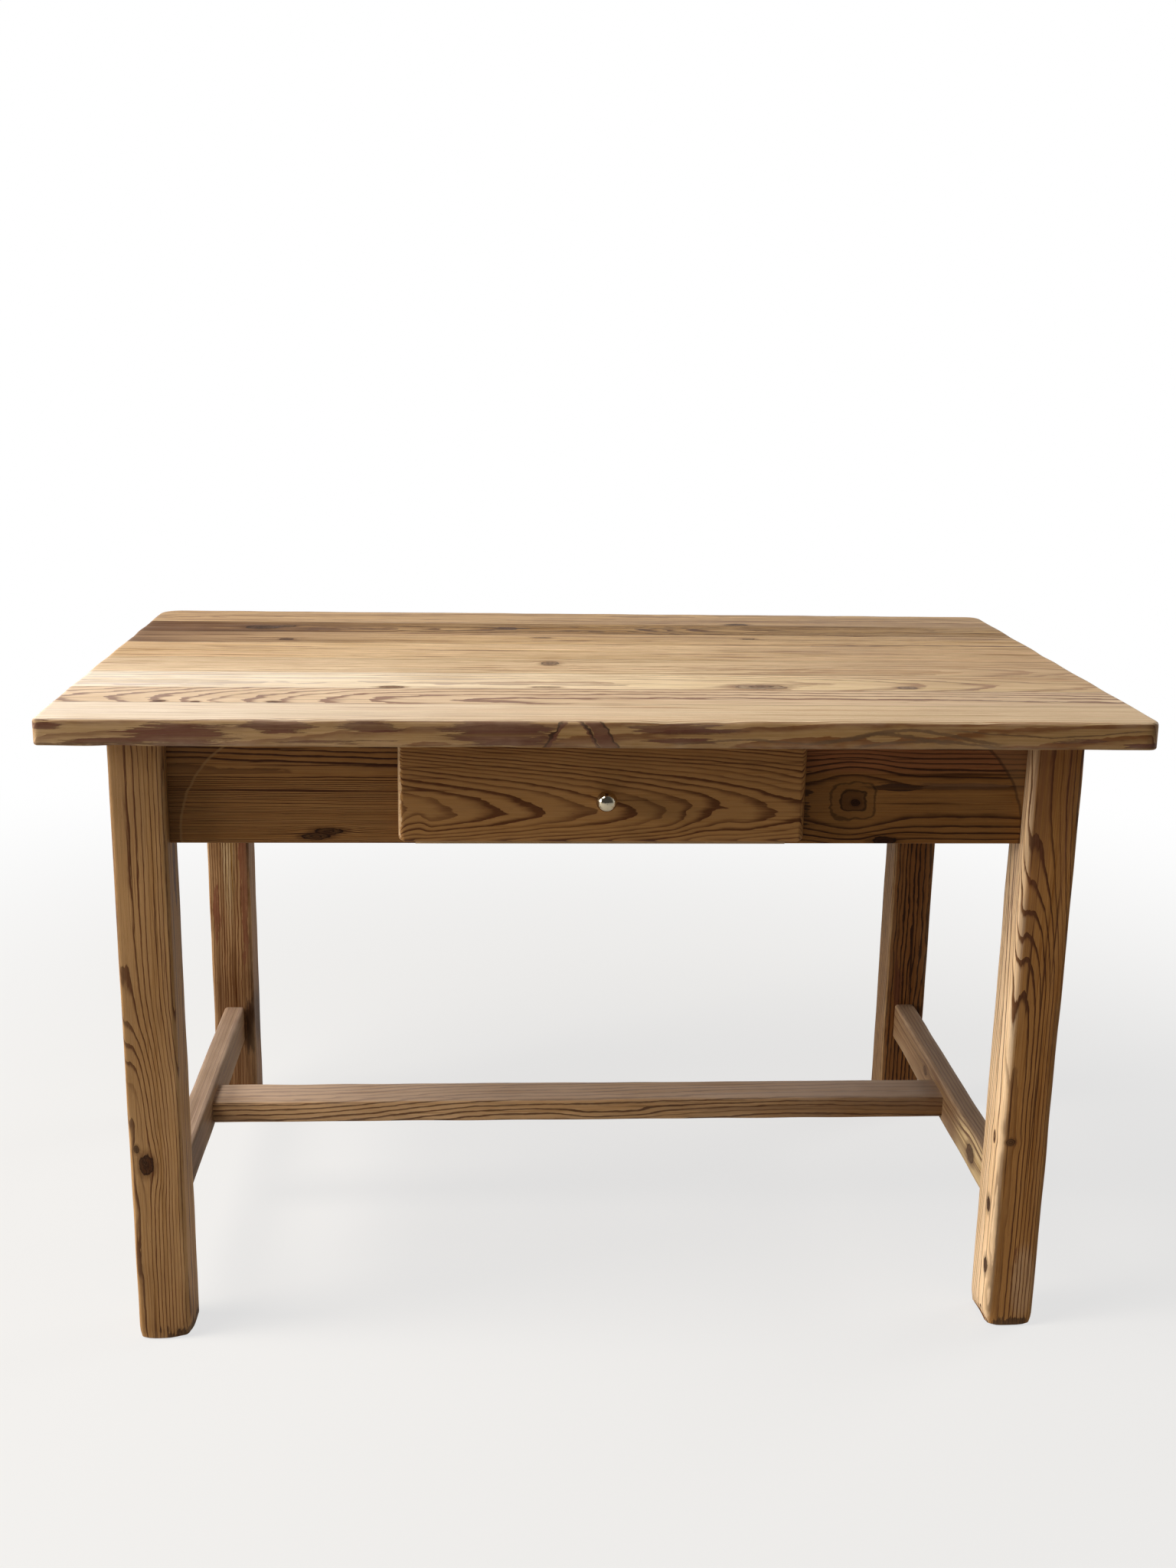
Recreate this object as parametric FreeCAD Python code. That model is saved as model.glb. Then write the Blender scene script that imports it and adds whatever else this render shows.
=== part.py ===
import FreeCAD, Part
import math
import os

# Pine tavern table with one drawer. X runs along the table, Y from front to back, Z up from the floor.
# The origin is on the floor, under the middle of the top. All sizes are in millimetres.

# ---- Overall ----
TABLE_LENGTH = 1200.0
TABLE_WIDTH = 720.0
TABLE_HEIGHT = 760.0

# ---- Top: boards glued edge to edge, then shaped as one panel ----
TOP_THICKNESS = 31.0
BOARD_PARTS = (80, 83, 92, 95, 107, 83, 80, 100)  # how the boards share the width, front to back
TOP_CORNER_RADIUS = 9.0
TOP_EDGE_RADIUS = 5.0
TOP_UNDER_RADIUS = 3.0

# ---- Legs ----
LEG_SIZE = 60.0
END_OVERHANG = 66.0  # top past the legs, at each end
SIDE_OVERHANG = 41.0  # top past the legs, front and back
LEG_EDGE_RADIUS = 4.0
FOOT_CHAMFER = 3.0

# ---- Aprons ----
APRON_HEIGHT = 123.0
APRON_THICKNESS = 22.0
APRON_SETBACK = 18.0  # behind the outer faces of the legs
APRON_EDGE_RADIUS = 2.0
APRON_TENON_THICKNESS = 10.0
APRON_TENON_SHOULDER = 14.0  # above and below the tenon
MORTISE_WALL = 3.0  # left between the two mortises that meet in a leg

# ---- Stretchers ----
SIDE_STRETCHER_WIDTH = 29.0
SIDE_STRETCHER_HEIGHT = 55.0
SIDE_STRETCHER_BOTTOM = 127.0
SIDE_STRETCHER_RADIUS = 5.0
SIDE_TENON_THICKNESS = 12.0
SIDE_TENON_SHOULDER = 8.0
SIDE_TENON_LENGTH = 30.0
LONG_STRETCHER_DEPTH = 56.0
LONG_STRETCHER_HEIGHT = 31.0
LONG_STRETCHER_BOTTOM = 135.0
LONG_STRETCHER_RADIUS = 4.0
LONG_TENON_SHOULDER = 9.0
LONG_TENON_LENGTH = 20.0

# ---- Drawer opening and what carries the drawer ----
OPENING_WIDTH = 412.0
TOP_RAIL_HEIGHT = 14.0
BOTTOM_RAIL_HEIGHT = 16.0
BOTTOM_RAIL_DEPTH = 45.0
STUB_LENGTH = 12.0  # tenons of the rails and runners
STUB_SHOULDER = 3.0
GUIDE_WIDTH = 12.0
GUIDE_HEIGHT = 28.0
RUNNER_LEDGE = 8.0  # runner and kicker past the inner face of the drawer's side

# ---- Drawer ----
FRONT_WIDTH = 448.0
LIP_OVER_APRON_FOOT = 6.0  # lower edge of the front above the bottom of the apron
LIP_UNDER_TOP = 2.0  # gap between the front and the top
FRONT_TONGUE = 12.0  # part of the front that enters the opening
FRONT_CORNER_RADIUS = 8.0
FRONT_EDGE_RADIUS = 6.5
DRAWER_LENGTH = 430.0  # behind the front
SIDE_THICKNESS = 12.0
BACK_THICKNESS = 12.0
BACK_DROP = 7.0  # top of the drawer's back below the sides
BOTTOM_THICKNESS = 5.8
GROOVE_RISE = 10.0  # groove above the lower edge of the sides
GROOVE_DEPTH = 5.0
FRONT_TAILS = 3
BACK_TAILS = 2
PIN_TIP = 8.0
DOVETAIL_SLOPE = 1 / 6

# ---- Knob ----
KNOB_DIAMETER = 23.0
KNOB_STANDOFF = 16.0  # centre of the ball in front of the drawer
KNOB_NECK_RADIUS = 4.0
KNOB_FOOT_RADIUS = 6.5
KNOB_FOOT_HEIGHT = 1.5
KNOB_COVE_HEIGHT = 1.5  # slope from the foot to the neck
KNOB_RIGHT = 3.0  # right of the middle
KNOB_DROP = 5.5  # below the middle of the front
KNOB_BITE = 10.0  # screw inside the knob
KNOB_SCREW_RADIUS = 2.0
KNOB_SCREW_HEAD_RADIUS = 4.0
KNOB_SCREW_HEAD_HEIGHT = 2.6
WASHER_RADIUS = 5.5
WASHER_THICKNESS = 1.0

# ---- Buttons that hold the top, and small fixings ----
BUTTON_LENGTH = 34.0
BUTTON_REACH = 26.0  # away from the apron
BUTTON_HEIGHT = 19.0
BUTTON_TONGUE = 7.4
GROOVE_BELOW_TOP = 11.0
BUTTON_GROOVE = 8.0
GROOVE_INSET = 20.0  # the grooves of the front and back aprons stop this far from the opening
SCREW_RADIUS = 1.9
SCREW_HEAD_RADIUS = 3.8
SCREW_HEAD_HEIGHT = 2.2
SCREW_BITE = 16.0  # into the top
NAIL_RADIUS = 1.0
NAIL_LENGTH = 24.0
NAIL_SPACING = 150.0

# ---- Clearances ----
GLUE_GAP = 0.15  # round tenons and tails
TENON_END_GAP = 1.0
DRAWER_SIDE_GAP = 1.0
DRAWER_TOP_GAP = 1.5
RUNNING_GAP = 0.4  # under the drawer, and between its lip and the apron
FIXING_GAP = 0.1  # round screws and nails
TOUCH = 1e-6  # places nearer than this are the same

# ---- Places worked out from the sizes ----
LEG_X_OUT = TABLE_LENGTH / 2 - END_OVERHANG
LEG_X_IN = LEG_X_OUT - LEG_SIZE
LEG_Y_OUT = TABLE_WIDTH / 2 - SIDE_OVERHANG
LEG_Y_IN = LEG_Y_OUT - LEG_SIZE
LEG_X = (LEG_X_OUT + LEG_X_IN) / 2
LEG_TOP = TABLE_HEIGHT - TOP_THICKNESS
APRON_BOTTOM = LEG_TOP - APRON_HEIGHT
APRON_X_OUT = LEG_X_OUT - APRON_SETBACK
APRON_X_IN = APRON_X_OUT - APRON_THICKNESS
APRON_Y_OUT = LEG_Y_OUT - APRON_SETBACK
APRON_Y_IN = APRON_Y_OUT - APRON_THICKNESS
APRON_TENON_INSET = (APRON_THICKNESS - APRON_TENON_THICKNESS) / 2
APRON_TENON_LENGTH = (
    LEG_SIZE - APRON_SETBACK - APRON_THICKNESS + APRON_TENON_INSET - MORTISE_WALL - TENON_END_GAP
)
SIDE_STRETCHER_TOP = SIDE_STRETCHER_BOTTOM + SIDE_STRETCHER_HEIGHT
SIDE_STRETCHER_X_IN = LEG_X - SIDE_STRETCHER_WIDTH / 2
OPENING_X = OPENING_WIDTH / 2
OPENING_LOW = APRON_BOTTOM + BOTTOM_RAIL_HEIGHT
OPENING_HIGH = LEG_TOP - TOP_RAIL_HEIGHT
DRAWER_X = OPENING_X - DRAWER_SIDE_GAP
DRAWER_X_IN = DRAWER_X - SIDE_THICKNESS
DRAWER_LOW = OPENING_LOW + RUNNING_GAP
DRAWER_HIGH = OPENING_HIGH - DRAWER_TOP_GAP
LIP_LOW = APRON_BOTTOM + LIP_OVER_APRON_FOOT
LIP_HIGH = LEG_TOP - LIP_UNDER_TOP
FRONT_Y = -LEG_Y_OUT
LIP_BACK_Y = -APRON_Y_OUT - RUNNING_GAP
TONGUE_BACK_Y = LIP_BACK_Y + FRONT_TONGUE
DRAWER_REAR_Y = TONGUE_BACK_Y + DRAWER_LENGTH
BACK_FACE_Y = DRAWER_REAR_Y - BACK_THICKNESS
GROOVE_LOW = DRAWER_LOW + GROOVE_RISE
GROOVE_HIGH = GROOVE_LOW + BOTTOM_THICKNESS + 2 * GLUE_GAP
BACK_LOW = GROOVE_HIGH + GLUE_GAP
BACK_HIGH = DRAWER_HIGH - BACK_DROP
RUNNER_X_IN = DRAWER_X_IN - RUNNER_LEDGE
RUNNER_X_OUT = OPENING_X + GUIDE_WIDTH
RUNNER_FRONT_Y = -APRON_Y_OUT + BOTTOM_RAIL_DEPTH
RUNNER_FRONT_STUB = (RUNNER_FRONT_Y - STUB_LENGTH, RUNNER_FRONT_Y)
KICKER_FRONT_STUB = (-APRON_Y_IN - STUB_LENGTH, -APRON_Y_IN)
BACK_STUB = (APRON_Y_IN, APRON_Y_IN + STUB_LENGTH)
GUIDE_TOP = OPENING_LOW + GUIDE_HEIGHT
KNOB_Z = (LIP_LOW + LIP_HIGH) / 2 - KNOB_DROP
BUTTON_GROOVE_TOP = LEG_TOP - GROOVE_BELOW_TOP

X_AXIS = FreeCAD.Vector(1, 0, 0)
Y_AXIS = FreeCAD.Vector(0, 1, 0)
Z_AXIS = FreeCAD.Vector(0, 0, 1)
ORIGIN = FreeCAD.Vector(0, 0, 0)


# ---- Small tools ----
def block(low, high):
    """A box between its lowest and highest corners."""
    size = [b - a for a, b in zip(low, high)]
    return Part.makeBox(*size, FreeCAD.Vector(*low))


def mortise(tenon, axis):
    """The mortise for a tenon given by its corners, which runs along an axis (0, 1 or 2)."""
    low, high = tenon
    room = [TENON_END_GAP if i == axis else GLUE_GAP for i in range(3)]
    return block([a - g for a, g in zip(low, room)], [b + g for b, g in zip(high, room)])


def edges_along(shape, direction, where=None):
    """Straight edges of a shape that run along a direction, where a test on their middle holds."""
    found = []
    for edge in shape.Edges:
        run = edge.Vertexes[-1].Point - edge.Vertexes[0].Point
        if run.Length > TOUCH and abs(run.normalize() * direction) > 1 - TOUCH:
            if where is None or where(edge.CenterOfMass):
                found.append(edge)
    return found


def edges_at(shape, axis, value):
    """Edges of a shape that lie in a plane across an axis (0, 1 or 2)."""
    return [
        e for e in shape.Edges if all(abs(v.Point[axis] - value) < TOUCH for v in e.Vertexes)
    ]


def mirror_x(shape):
    return shape.mirror(ORIGIN, X_AXIS)


def mirror_y(shape):
    return shape.mirror(ORIGIN, Y_AXIS)


def rod(centre, radius, length, direction):
    return Part.makeCylinder(radius, length, FreeCAD.Vector(*centre), direction)


# ---- Fixings, each given by the place of its head, its length and its radius; all point up ----
def shank(place, length, radius, gap=0.0):
    """The shank of a screw or nail, or with a gap the hole for it."""
    return rod(place, radius + gap, length + gap, Z_AXIS)


def button_places():
    """Each button's middle on the apron's inner face, and its direction away from the apron."""
    middle_x = (RUNNER_X_OUT + LEG_X_IN) / 2
    places = []
    for side in (-1, 1):
        for end in (-1, 1):
            places.append(((side * middle_x, end * APRON_Y_IN), (0, -end)))
            places.append(((side * APRON_X_IN, end * LEG_Y_IN / 2), (-side, 0)))
    return places


def button_screw_places():
    """Where each button's screw enters it, from below."""
    return [
        (x + dx * BUTTON_REACH / 2, y + dy * BUTTON_REACH / 2, LEG_TOP - BUTTON_HEIGHT)
        for (x, y), (dx, dy) in button_places()
    ]


def button_screws():
    made = []
    for x, y, z in button_screw_places():
        head = rod((x, y, z - SCREW_HEAD_HEIGHT), SCREW_HEAD_RADIUS, SCREW_HEAD_HEIGHT, Z_AXIS)
        made.append(head.fuse(shank((x, y, z), BUTTON_HEIGHT + SCREW_BITE, SCREW_RADIUS)))
    return Part.makeCompound(made)


def screw_holes():
    return [
        shank(place, BUTTON_HEIGHT + SCREW_BITE, SCREW_RADIUS, FIXING_GAP)
        for place in button_screw_places()
    ]


def nails(gap=0.0):
    y = (BACK_FACE_Y + DRAWER_REAR_Y) / 2
    return [
        shank((x, y, GROOVE_LOW + GLUE_GAP), NAIL_LENGTH, NAIL_RADIUS, gap)
        for x in (-NAIL_SPACING, 0, NAIL_SPACING)
    ]


def drilled(shape, holes):
    """The shape with the holes that reach into it."""
    near = [h for h in holes if h.BoundBox.intersect(shape.BoundBox)]
    return shape.cut(near) if near else shape


# ---- Top ----
def top_boards():
    half_length, half_width = TABLE_LENGTH / 2, TABLE_WIDTH / 2
    panel = block((-half_length, -half_width, LEG_TOP), (half_length, half_width, TABLE_HEIGHT))
    panel = panel.makeFillet(TOP_CORNER_RADIUS, edges_along(panel, Z_AXIS))
    panel = panel.makeFillet(TOP_EDGE_RADIUS, edges_at(panel, 2, TABLE_HEIGHT))
    panel = panel.makeFillet(TOP_UNDER_RADIUS, edges_at(panel, 2, LEG_TOP))
    boards = {}
    y = -half_width
    for number, part in enumerate(BOARD_PARTS, 1):
        y_next = y + TABLE_WIDTH * part / sum(BOARD_PARTS)
        board = panel.common(block((-half_length, y, LEG_TOP), (half_length, y_next, TABLE_HEIGHT)))
        boards[f"top_board_{number}"] = drilled(board, screw_holes())
        y = y_next
    return boards


# ---- Legs and aprons ----
def apron_tenon_x(y_face_in):
    """Corners of the tenon at the +X end of a front or back apron, by its inner face."""
    y = sorted((y_face_in, y_face_in + APRON_THICKNESS * (1 if y_face_in > 0 else -1)))
    return (
        (LEG_X_IN, y[0] + APRON_TENON_INSET, APRON_BOTTOM + APRON_TENON_SHOULDER),
        (LEG_X_IN + APRON_TENON_LENGTH, y[1] - APRON_TENON_INSET, LEG_TOP - APRON_TENON_SHOULDER),
    )


def apron_tenon_y():
    """Corners of the tenon at the front end of the right end apron."""
    return (
        (
            APRON_X_IN + APRON_TENON_INSET,
            -LEG_Y_IN - APRON_TENON_LENGTH,
            APRON_BOTTOM + APRON_TENON_SHOULDER,
        ),
        (APRON_X_OUT - APRON_TENON_INSET, -LEG_Y_IN, LEG_TOP - APRON_TENON_SHOULDER),
    )


def side_stretcher_tenon():
    """Corners of the tenon at the front end of the right side stretcher."""
    half = SIDE_TENON_THICKNESS / 2
    return (
        (LEG_X - half, -LEG_Y_IN - SIDE_TENON_LENGTH, SIDE_STRETCHER_BOTTOM + SIDE_TENON_SHOULDER),
        (LEG_X + half, -LEG_Y_IN, SIDE_STRETCHER_TOP - SIDE_TENON_SHOULDER),
    )


def leg_front_right():
    leg = block((LEG_X_IN, -LEG_Y_OUT, 0), (LEG_X_OUT, -LEG_Y_IN, LEG_TOP))
    leg = leg.makeFillet(LEG_EDGE_RADIUS, edges_along(leg, Z_AXIS))
    leg = leg.makeChamfer(FOOT_CHAMFER, edges_at(leg, 2, 0))
    leg = leg.cut(mortise(apron_tenon_x(-APRON_Y_IN), 0))
    leg = leg.cut(mortise(apron_tenon_y(), 1))
    return leg.cut(mortise(side_stretcher_tenon(), 1))


def with_soft_foot(apron, direction):
    """The apron with its two lower edges eased."""
    low = edges_along(apron, direction, lambda p: abs(p.z - APRON_BOTTOM) < TOUCH)
    return apron.makeFillet(APRON_EDGE_RADIUS, low)


def button_groove(low_xy, high_xy):
    low = BUTTON_GROOVE_TOP - BUTTON_GROOVE
    return block((*low_xy, low), (*high_xy, BUTTON_GROOVE_TOP))


def button_groove_x():
    """The groove in the inner face of the right front apron, which the back apron mirrors."""
    low_xy = (OPENING_X + GROOVE_INSET, -APRON_Y_IN - BUTTON_GROOVE)
    return button_groove(low_xy, (LEG_X_IN, -APRON_Y_IN))


def front_apron_right():
    apron = block(
        (OPENING_X, -APRON_Y_OUT, APRON_BOTTOM),
        (LEG_X_IN, -APRON_Y_IN, LEG_TOP),
    )
    apron = with_soft_foot(apron, X_AXIS).fuse(block(*apron_tenon_x(-APRON_Y_IN)))
    for rail_tenon in (top_rail_tenon(), bottom_rail_tenon()):
        apron = apron.cut(mortise(rail_tenon, 0))
    return apron.cut(button_groove_x()).removeSplitter()


def back_apron():
    apron = block((-LEG_X_IN, APRON_Y_IN, APRON_BOTTOM), (LEG_X_IN, APRON_Y_OUT, LEG_TOP))
    tenon = block(*apron_tenon_x(APRON_Y_IN))
    apron = with_soft_foot(apron, X_AXIS).fuse([tenon, mirror_x(tenon)])
    cuts = [mirror_y(button_groove_x())]
    cuts += [mortise(stub, 1) for stub in (runner_stub(*BACK_STUB), kicker_stub(*BACK_STUB))]
    return apron.cut(cuts + [mirror_x(c) for c in cuts]).removeSplitter()


def end_apron_right():
    apron = block((APRON_X_IN, -LEG_Y_IN, APRON_BOTTOM), (APRON_X_OUT, LEG_Y_IN, LEG_TOP))
    tenon = block(*apron_tenon_y())
    apron = with_soft_foot(apron, Y_AXIS).fuse([tenon, mirror_y(tenon)])
    groove = button_groove((APRON_X_IN, -LEG_Y_IN), (APRON_X_IN + BUTTON_GROOVE, LEG_Y_IN))
    return apron.cut(groove).removeSplitter()


# ---- Stretchers ----
def long_stretcher_tenon():
    """Corners of the tenon at the right end of the long stretcher."""
    half = LONG_STRETCHER_DEPTH / 2 - LONG_TENON_SHOULDER
    low = LONG_STRETCHER_BOTTOM + LONG_TENON_SHOULDER
    high = LONG_STRETCHER_BOTTOM + LONG_STRETCHER_HEIGHT - LONG_TENON_SHOULDER
    return (
        (SIDE_STRETCHER_X_IN, -half, low),
        (SIDE_STRETCHER_X_IN + LONG_TENON_LENGTH, half, high),
    )


def side_stretcher_right():
    rail = block(
        (SIDE_STRETCHER_X_IN, -LEG_Y_IN, SIDE_STRETCHER_BOTTOM),
        (SIDE_STRETCHER_X_IN + SIDE_STRETCHER_WIDTH, LEG_Y_IN, SIDE_STRETCHER_TOP),
    )
    rail = rail.makeFillet(SIDE_STRETCHER_RADIUS, edges_along(rail, Y_AXIS))
    tenon = block(*side_stretcher_tenon())
    return rail.fuse([tenon, mirror_y(tenon)]).cut(mortise(long_stretcher_tenon(), 0))


def long_stretcher():
    half = LONG_STRETCHER_DEPTH / 2
    rail = block(
        (-SIDE_STRETCHER_X_IN, -half, LONG_STRETCHER_BOTTOM),
        (SIDE_STRETCHER_X_IN, half, LONG_STRETCHER_BOTTOM + LONG_STRETCHER_HEIGHT),
    )
    rail = rail.makeFillet(LONG_STRETCHER_RADIUS, edges_along(rail, X_AXIS))
    tenon = block(*long_stretcher_tenon())
    return rail.fuse([tenon, mirror_x(tenon)])


# ---- Drawer opening: rails, runners, guides and kickers ----
def rail_tenon(rail_low, rail_high):
    """Corners of the stub tenon at the right end of a rail of the opening, by the rail's height."""
    return (
        (OPENING_X, -APRON_Y_OUT + APRON_TENON_INSET, rail_low + STUB_SHOULDER),
        (OPENING_X + STUB_LENGTH, -APRON_Y_IN - APRON_TENON_INSET, rail_high - STUB_SHOULDER),
    )


def top_rail_tenon():
    return rail_tenon(OPENING_HIGH, LEG_TOP)


def bottom_rail_tenon():
    return rail_tenon(APRON_BOTTOM, OPENING_LOW)


def strip_stub(z_low, z_high, y_low, y_high):
    """Corners of a stub tenon of the right runner or kicker, by the strip's height."""
    return (
        (RUNNER_X_IN + STUB_SHOULDER, y_low, z_low + STUB_SHOULDER),
        (OPENING_X - STUB_SHOULDER, y_high, z_high - STUB_SHOULDER),
    )


def runner_stub(y_low, y_high):
    return strip_stub(APRON_BOTTOM, OPENING_LOW, y_low, y_high)


def kicker_stub(y_low, y_high):
    return strip_stub(OPENING_HIGH, LEG_TOP, y_low, y_high)


def drawer_top_rail():
    rail = block((-OPENING_X, -APRON_Y_OUT, OPENING_HIGH), (OPENING_X, -APRON_Y_IN, LEG_TOP))
    tenon = block(*top_rail_tenon())
    stub = mortise(kicker_stub(*KICKER_FRONT_STUB), 1)
    return rail.fuse([tenon, mirror_x(tenon)]).cut([stub, mirror_x(stub)])


def drawer_bottom_rail():
    rail = block(
        (-OPENING_X, -APRON_Y_OUT, APRON_BOTTOM),
        (OPENING_X, RUNNER_FRONT_Y, OPENING_LOW),
    )
    tenon = block(*bottom_rail_tenon())
    stub = mortise(runner_stub(*RUNNER_FRONT_STUB), 1)
    return rail.fuse([tenon, mirror_x(tenon)]).cut([stub, mirror_x(stub)])


def runner_right():
    low = (RUNNER_X_IN, RUNNER_FRONT_Y, APRON_BOTTOM)
    runner = block(low, (RUNNER_X_OUT, APRON_Y_IN, OPENING_LOW))
    stubs = [block(*runner_stub(*ends)) for ends in (RUNNER_FRONT_STUB, BACK_STUB)]
    return runner.fuse(stubs)


def guide_right():
    return block((OPENING_X, -APRON_Y_IN, OPENING_LOW), (RUNNER_X_OUT, APRON_Y_IN, GUIDE_TOP))


def kicker_right():
    kicker = block((RUNNER_X_IN, -APRON_Y_IN, OPENING_HIGH), (RUNNER_X_OUT, APRON_Y_IN, LEG_TOP))
    stubs = [block(*kicker_stub(*ends)) for ends in (KICKER_FRONT_STUB, BACK_STUB)]
    return kicker.fuse(stubs)


# ---- Drawer ----
def tails(z_low, z_high, count, y_root, y_tip, gap=0.0):
    """Dovetails of the right side, between two heights, that widen from y_root to y_tip."""
    pitch = (z_high - z_low) / count
    tip = (pitch - PIN_TIP) / 2 + gap
    root = tip - abs(y_tip - y_root) * DOVETAIL_SLOPE
    end = y_tip + (gap if y_tip > y_root else -gap)
    made = []
    for i in range(count):
        z = z_low + (i + 0.5) * pitch
        corners = [(y_root, z - root), (end, z - tip), (end, z + tip), (y_root, z + root)]
        points = [FreeCAD.Vector(DRAWER_X_IN - gap, y, z_) for y, z_ in corners]
        face = Part.Face(Part.makePolygon(points + points[:1]))
        made.append(face.extrude(FreeCAD.Vector(SIDE_THICKNESS + 2 * gap, 0, 0)))
    return made


def front_tails(gap=0.0):
    tip = LIP_BACK_Y if gap else LIP_BACK_Y + GLUE_GAP
    return tails(DRAWER_LOW, DRAWER_HIGH, FRONT_TAILS, TONGUE_BACK_Y, tip, gap)


def back_tails(gap=0.0):
    return tails(BACK_LOW, BACK_HIGH, BACK_TAILS, BACK_FACE_Y, DRAWER_REAR_Y, gap)


def bottom_groove():
    """Room for the drawer's bottom in the sides and the front."""
    x = DRAWER_X_IN + GROOVE_DEPTH
    return block((-x, TONGUE_BACK_Y - GROOVE_DEPTH, GROOVE_LOW), (x, DRAWER_REAR_Y, GROOVE_HIGH))


def drawer_side_right():
    plate = block((DRAWER_X_IN, TONGUE_BACK_Y, DRAWER_LOW), (DRAWER_X, BACK_FACE_Y, DRAWER_HIGH))
    below = block((DRAWER_X_IN, BACK_FACE_Y, DRAWER_LOW), (DRAWER_X, DRAWER_REAR_Y, BACK_LOW))
    above = block((DRAWER_X_IN, BACK_FACE_Y, BACK_HIGH), (DRAWER_X, DRAWER_REAR_Y, DRAWER_HIGH))
    side = plate.fuse([below, above, *front_tails(), *back_tails()])
    return side.cut(bottom_groove()).removeSplitter()


def drawer_front():
    lip = block(
        (-FRONT_WIDTH / 2, FRONT_Y, LIP_LOW),
        (FRONT_WIDTH / 2, LIP_BACK_Y, LIP_HIGH),
    )
    lip = lip.makeFillet(FRONT_CORNER_RADIUS, edges_along(lip, Y_AXIS))
    lip = lip.makeFillet(FRONT_EDGE_RADIUS, edges_at(lip, 1, FRONT_Y))
    tongue = block((-DRAWER_X, LIP_BACK_Y, DRAWER_LOW), (DRAWER_X, TONGUE_BACK_Y, DRAWER_HIGH))
    sockets = front_tails(GLUE_GAP)
    front = lip.fuse(tongue).cut(sockets + [mirror_x(s) for s in sockets])
    knob_hole = rod(
        (KNOB_RIGHT, FRONT_Y, KNOB_Z),
        KNOB_SCREW_RADIUS + FIXING_GAP,
        TONGUE_BACK_Y - FRONT_Y,
        Y_AXIS,
    )
    return front.cut([bottom_groove(), knob_hole]).removeSplitter()


def drawer_back():
    back = block((-DRAWER_X, BACK_FACE_Y, BACK_LOW), (DRAWER_X, DRAWER_REAR_Y, BACK_HIGH))
    sockets = back_tails(GLUE_GAP)
    back = back.cut(sockets + [mirror_x(s) for s in sockets])
    return drilled(back, nails(FIXING_GAP))


def drawer_bottom():
    x = DRAWER_X_IN + GROOVE_DEPTH - GLUE_GAP
    y = TONGUE_BACK_Y - GROOVE_DEPTH + GLUE_GAP
    low = GROOVE_LOW + GLUE_GAP
    panel = block((-x, y, low), (x, DRAWER_REAR_Y, low + BOTTOM_THICKNESS))
    return drilled(panel, nails(FIXING_GAP))


def drawer_knob():
    """A ball on a short neck and foot, turned about the axis of its screw."""
    radius = KNOB_DIAMETER / 2
    neck_end = KNOB_STANDOFF - (radius**2 - KNOB_NECK_RADIUS**2) ** 0.5
    neck_start = KNOB_FOOT_HEIGHT + KNOB_COVE_HEIGHT

    def at(r, out):
        return FreeCAD.Vector(KNOB_RIGHT + r, FRONT_Y - out, KNOB_Z)

    outline = Part.makePolygon(
        [
            at(0, KNOB_STANDOFF + radius),
            at(0, 0),
            at(KNOB_FOOT_RADIUS, 0),
            at(KNOB_FOOT_RADIUS, KNOB_FOOT_HEIGHT),
            at(KNOB_NECK_RADIUS, neck_start),
            at(KNOB_NECK_RADIUS, neck_end),
        ]
    )
    ball = Part.Arc(
        at(KNOB_NECK_RADIUS, neck_end),
        at(radius, KNOB_STANDOFF),
        at(0, KNOB_STANDOFF + radius),
    ).toShape()
    face = Part.Face(Part.Wire(outline.Edges + [ball]))
    knob = face.revolve(at(0, 0), Y_AXIS, 360)
    bore = rod(
        (KNOB_RIGHT, FRONT_Y, KNOB_Z),
        KNOB_SCREW_RADIUS + FIXING_GAP,
        KNOB_BITE + TENON_END_GAP,
        -Y_AXIS,
    )
    return knob.cut(bore)


def knob_screw():
    head_y = TONGUE_BACK_Y + WASHER_THICKNESS
    head = rod((KNOB_RIGHT, head_y, KNOB_Z), KNOB_SCREW_HEAD_RADIUS, KNOB_SCREW_HEAD_HEIGHT, Y_AXIS)
    tip = (KNOB_RIGHT, FRONT_Y - KNOB_BITE, KNOB_Z)
    body = rod(tip, KNOB_SCREW_RADIUS, head_y - FRONT_Y + KNOB_BITE, Y_AXIS)
    return head.fuse(body).removeSplitter()


def knob_washer():
    centre = (KNOB_RIGHT, TONGUE_BACK_Y, KNOB_Z)
    washer = rod(centre, WASHER_RADIUS, WASHER_THICKNESS, Y_AXIS)
    return washer.cut(rod(centre, KNOB_SCREW_RADIUS + FIXING_GAP, WASHER_THICKNESS, Y_AXIS))


# ---- Buttons ----
def top_buttons():
    """Wooden blocks under the top, each with a tongue in the groove of an apron."""
    low = LEG_TOP - BUTTON_HEIGHT
    half = BUTTON_LENGTH / 2
    tongue_depth = BUTTON_GROOVE - TENON_END_GAP
    made = []
    for (x, y), (dx, dy) in button_places():
        body = block((-half, 0, low), (half, BUTTON_REACH, LEG_TOP))
        tongue = block(
            (-half, -tongue_depth, BUTTON_GROOVE_TOP - BUTTON_TONGUE),
            (half, 0, BUTTON_GROOVE_TOP),
        )
        button = body.fuse(tongue).removeSplitter()
        turn = FreeCAD.Rotation(Y_AXIS, FreeCAD.Vector(dx, dy, 0))
        button.rotate(ORIGIN, turn.Axis, math.degrees(turn.Angle))
        button.translate(FreeCAD.Vector(x, y, 0))
        made.append(drilled(button, screw_holes()))
    return Part.makeCompound(made)


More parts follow.
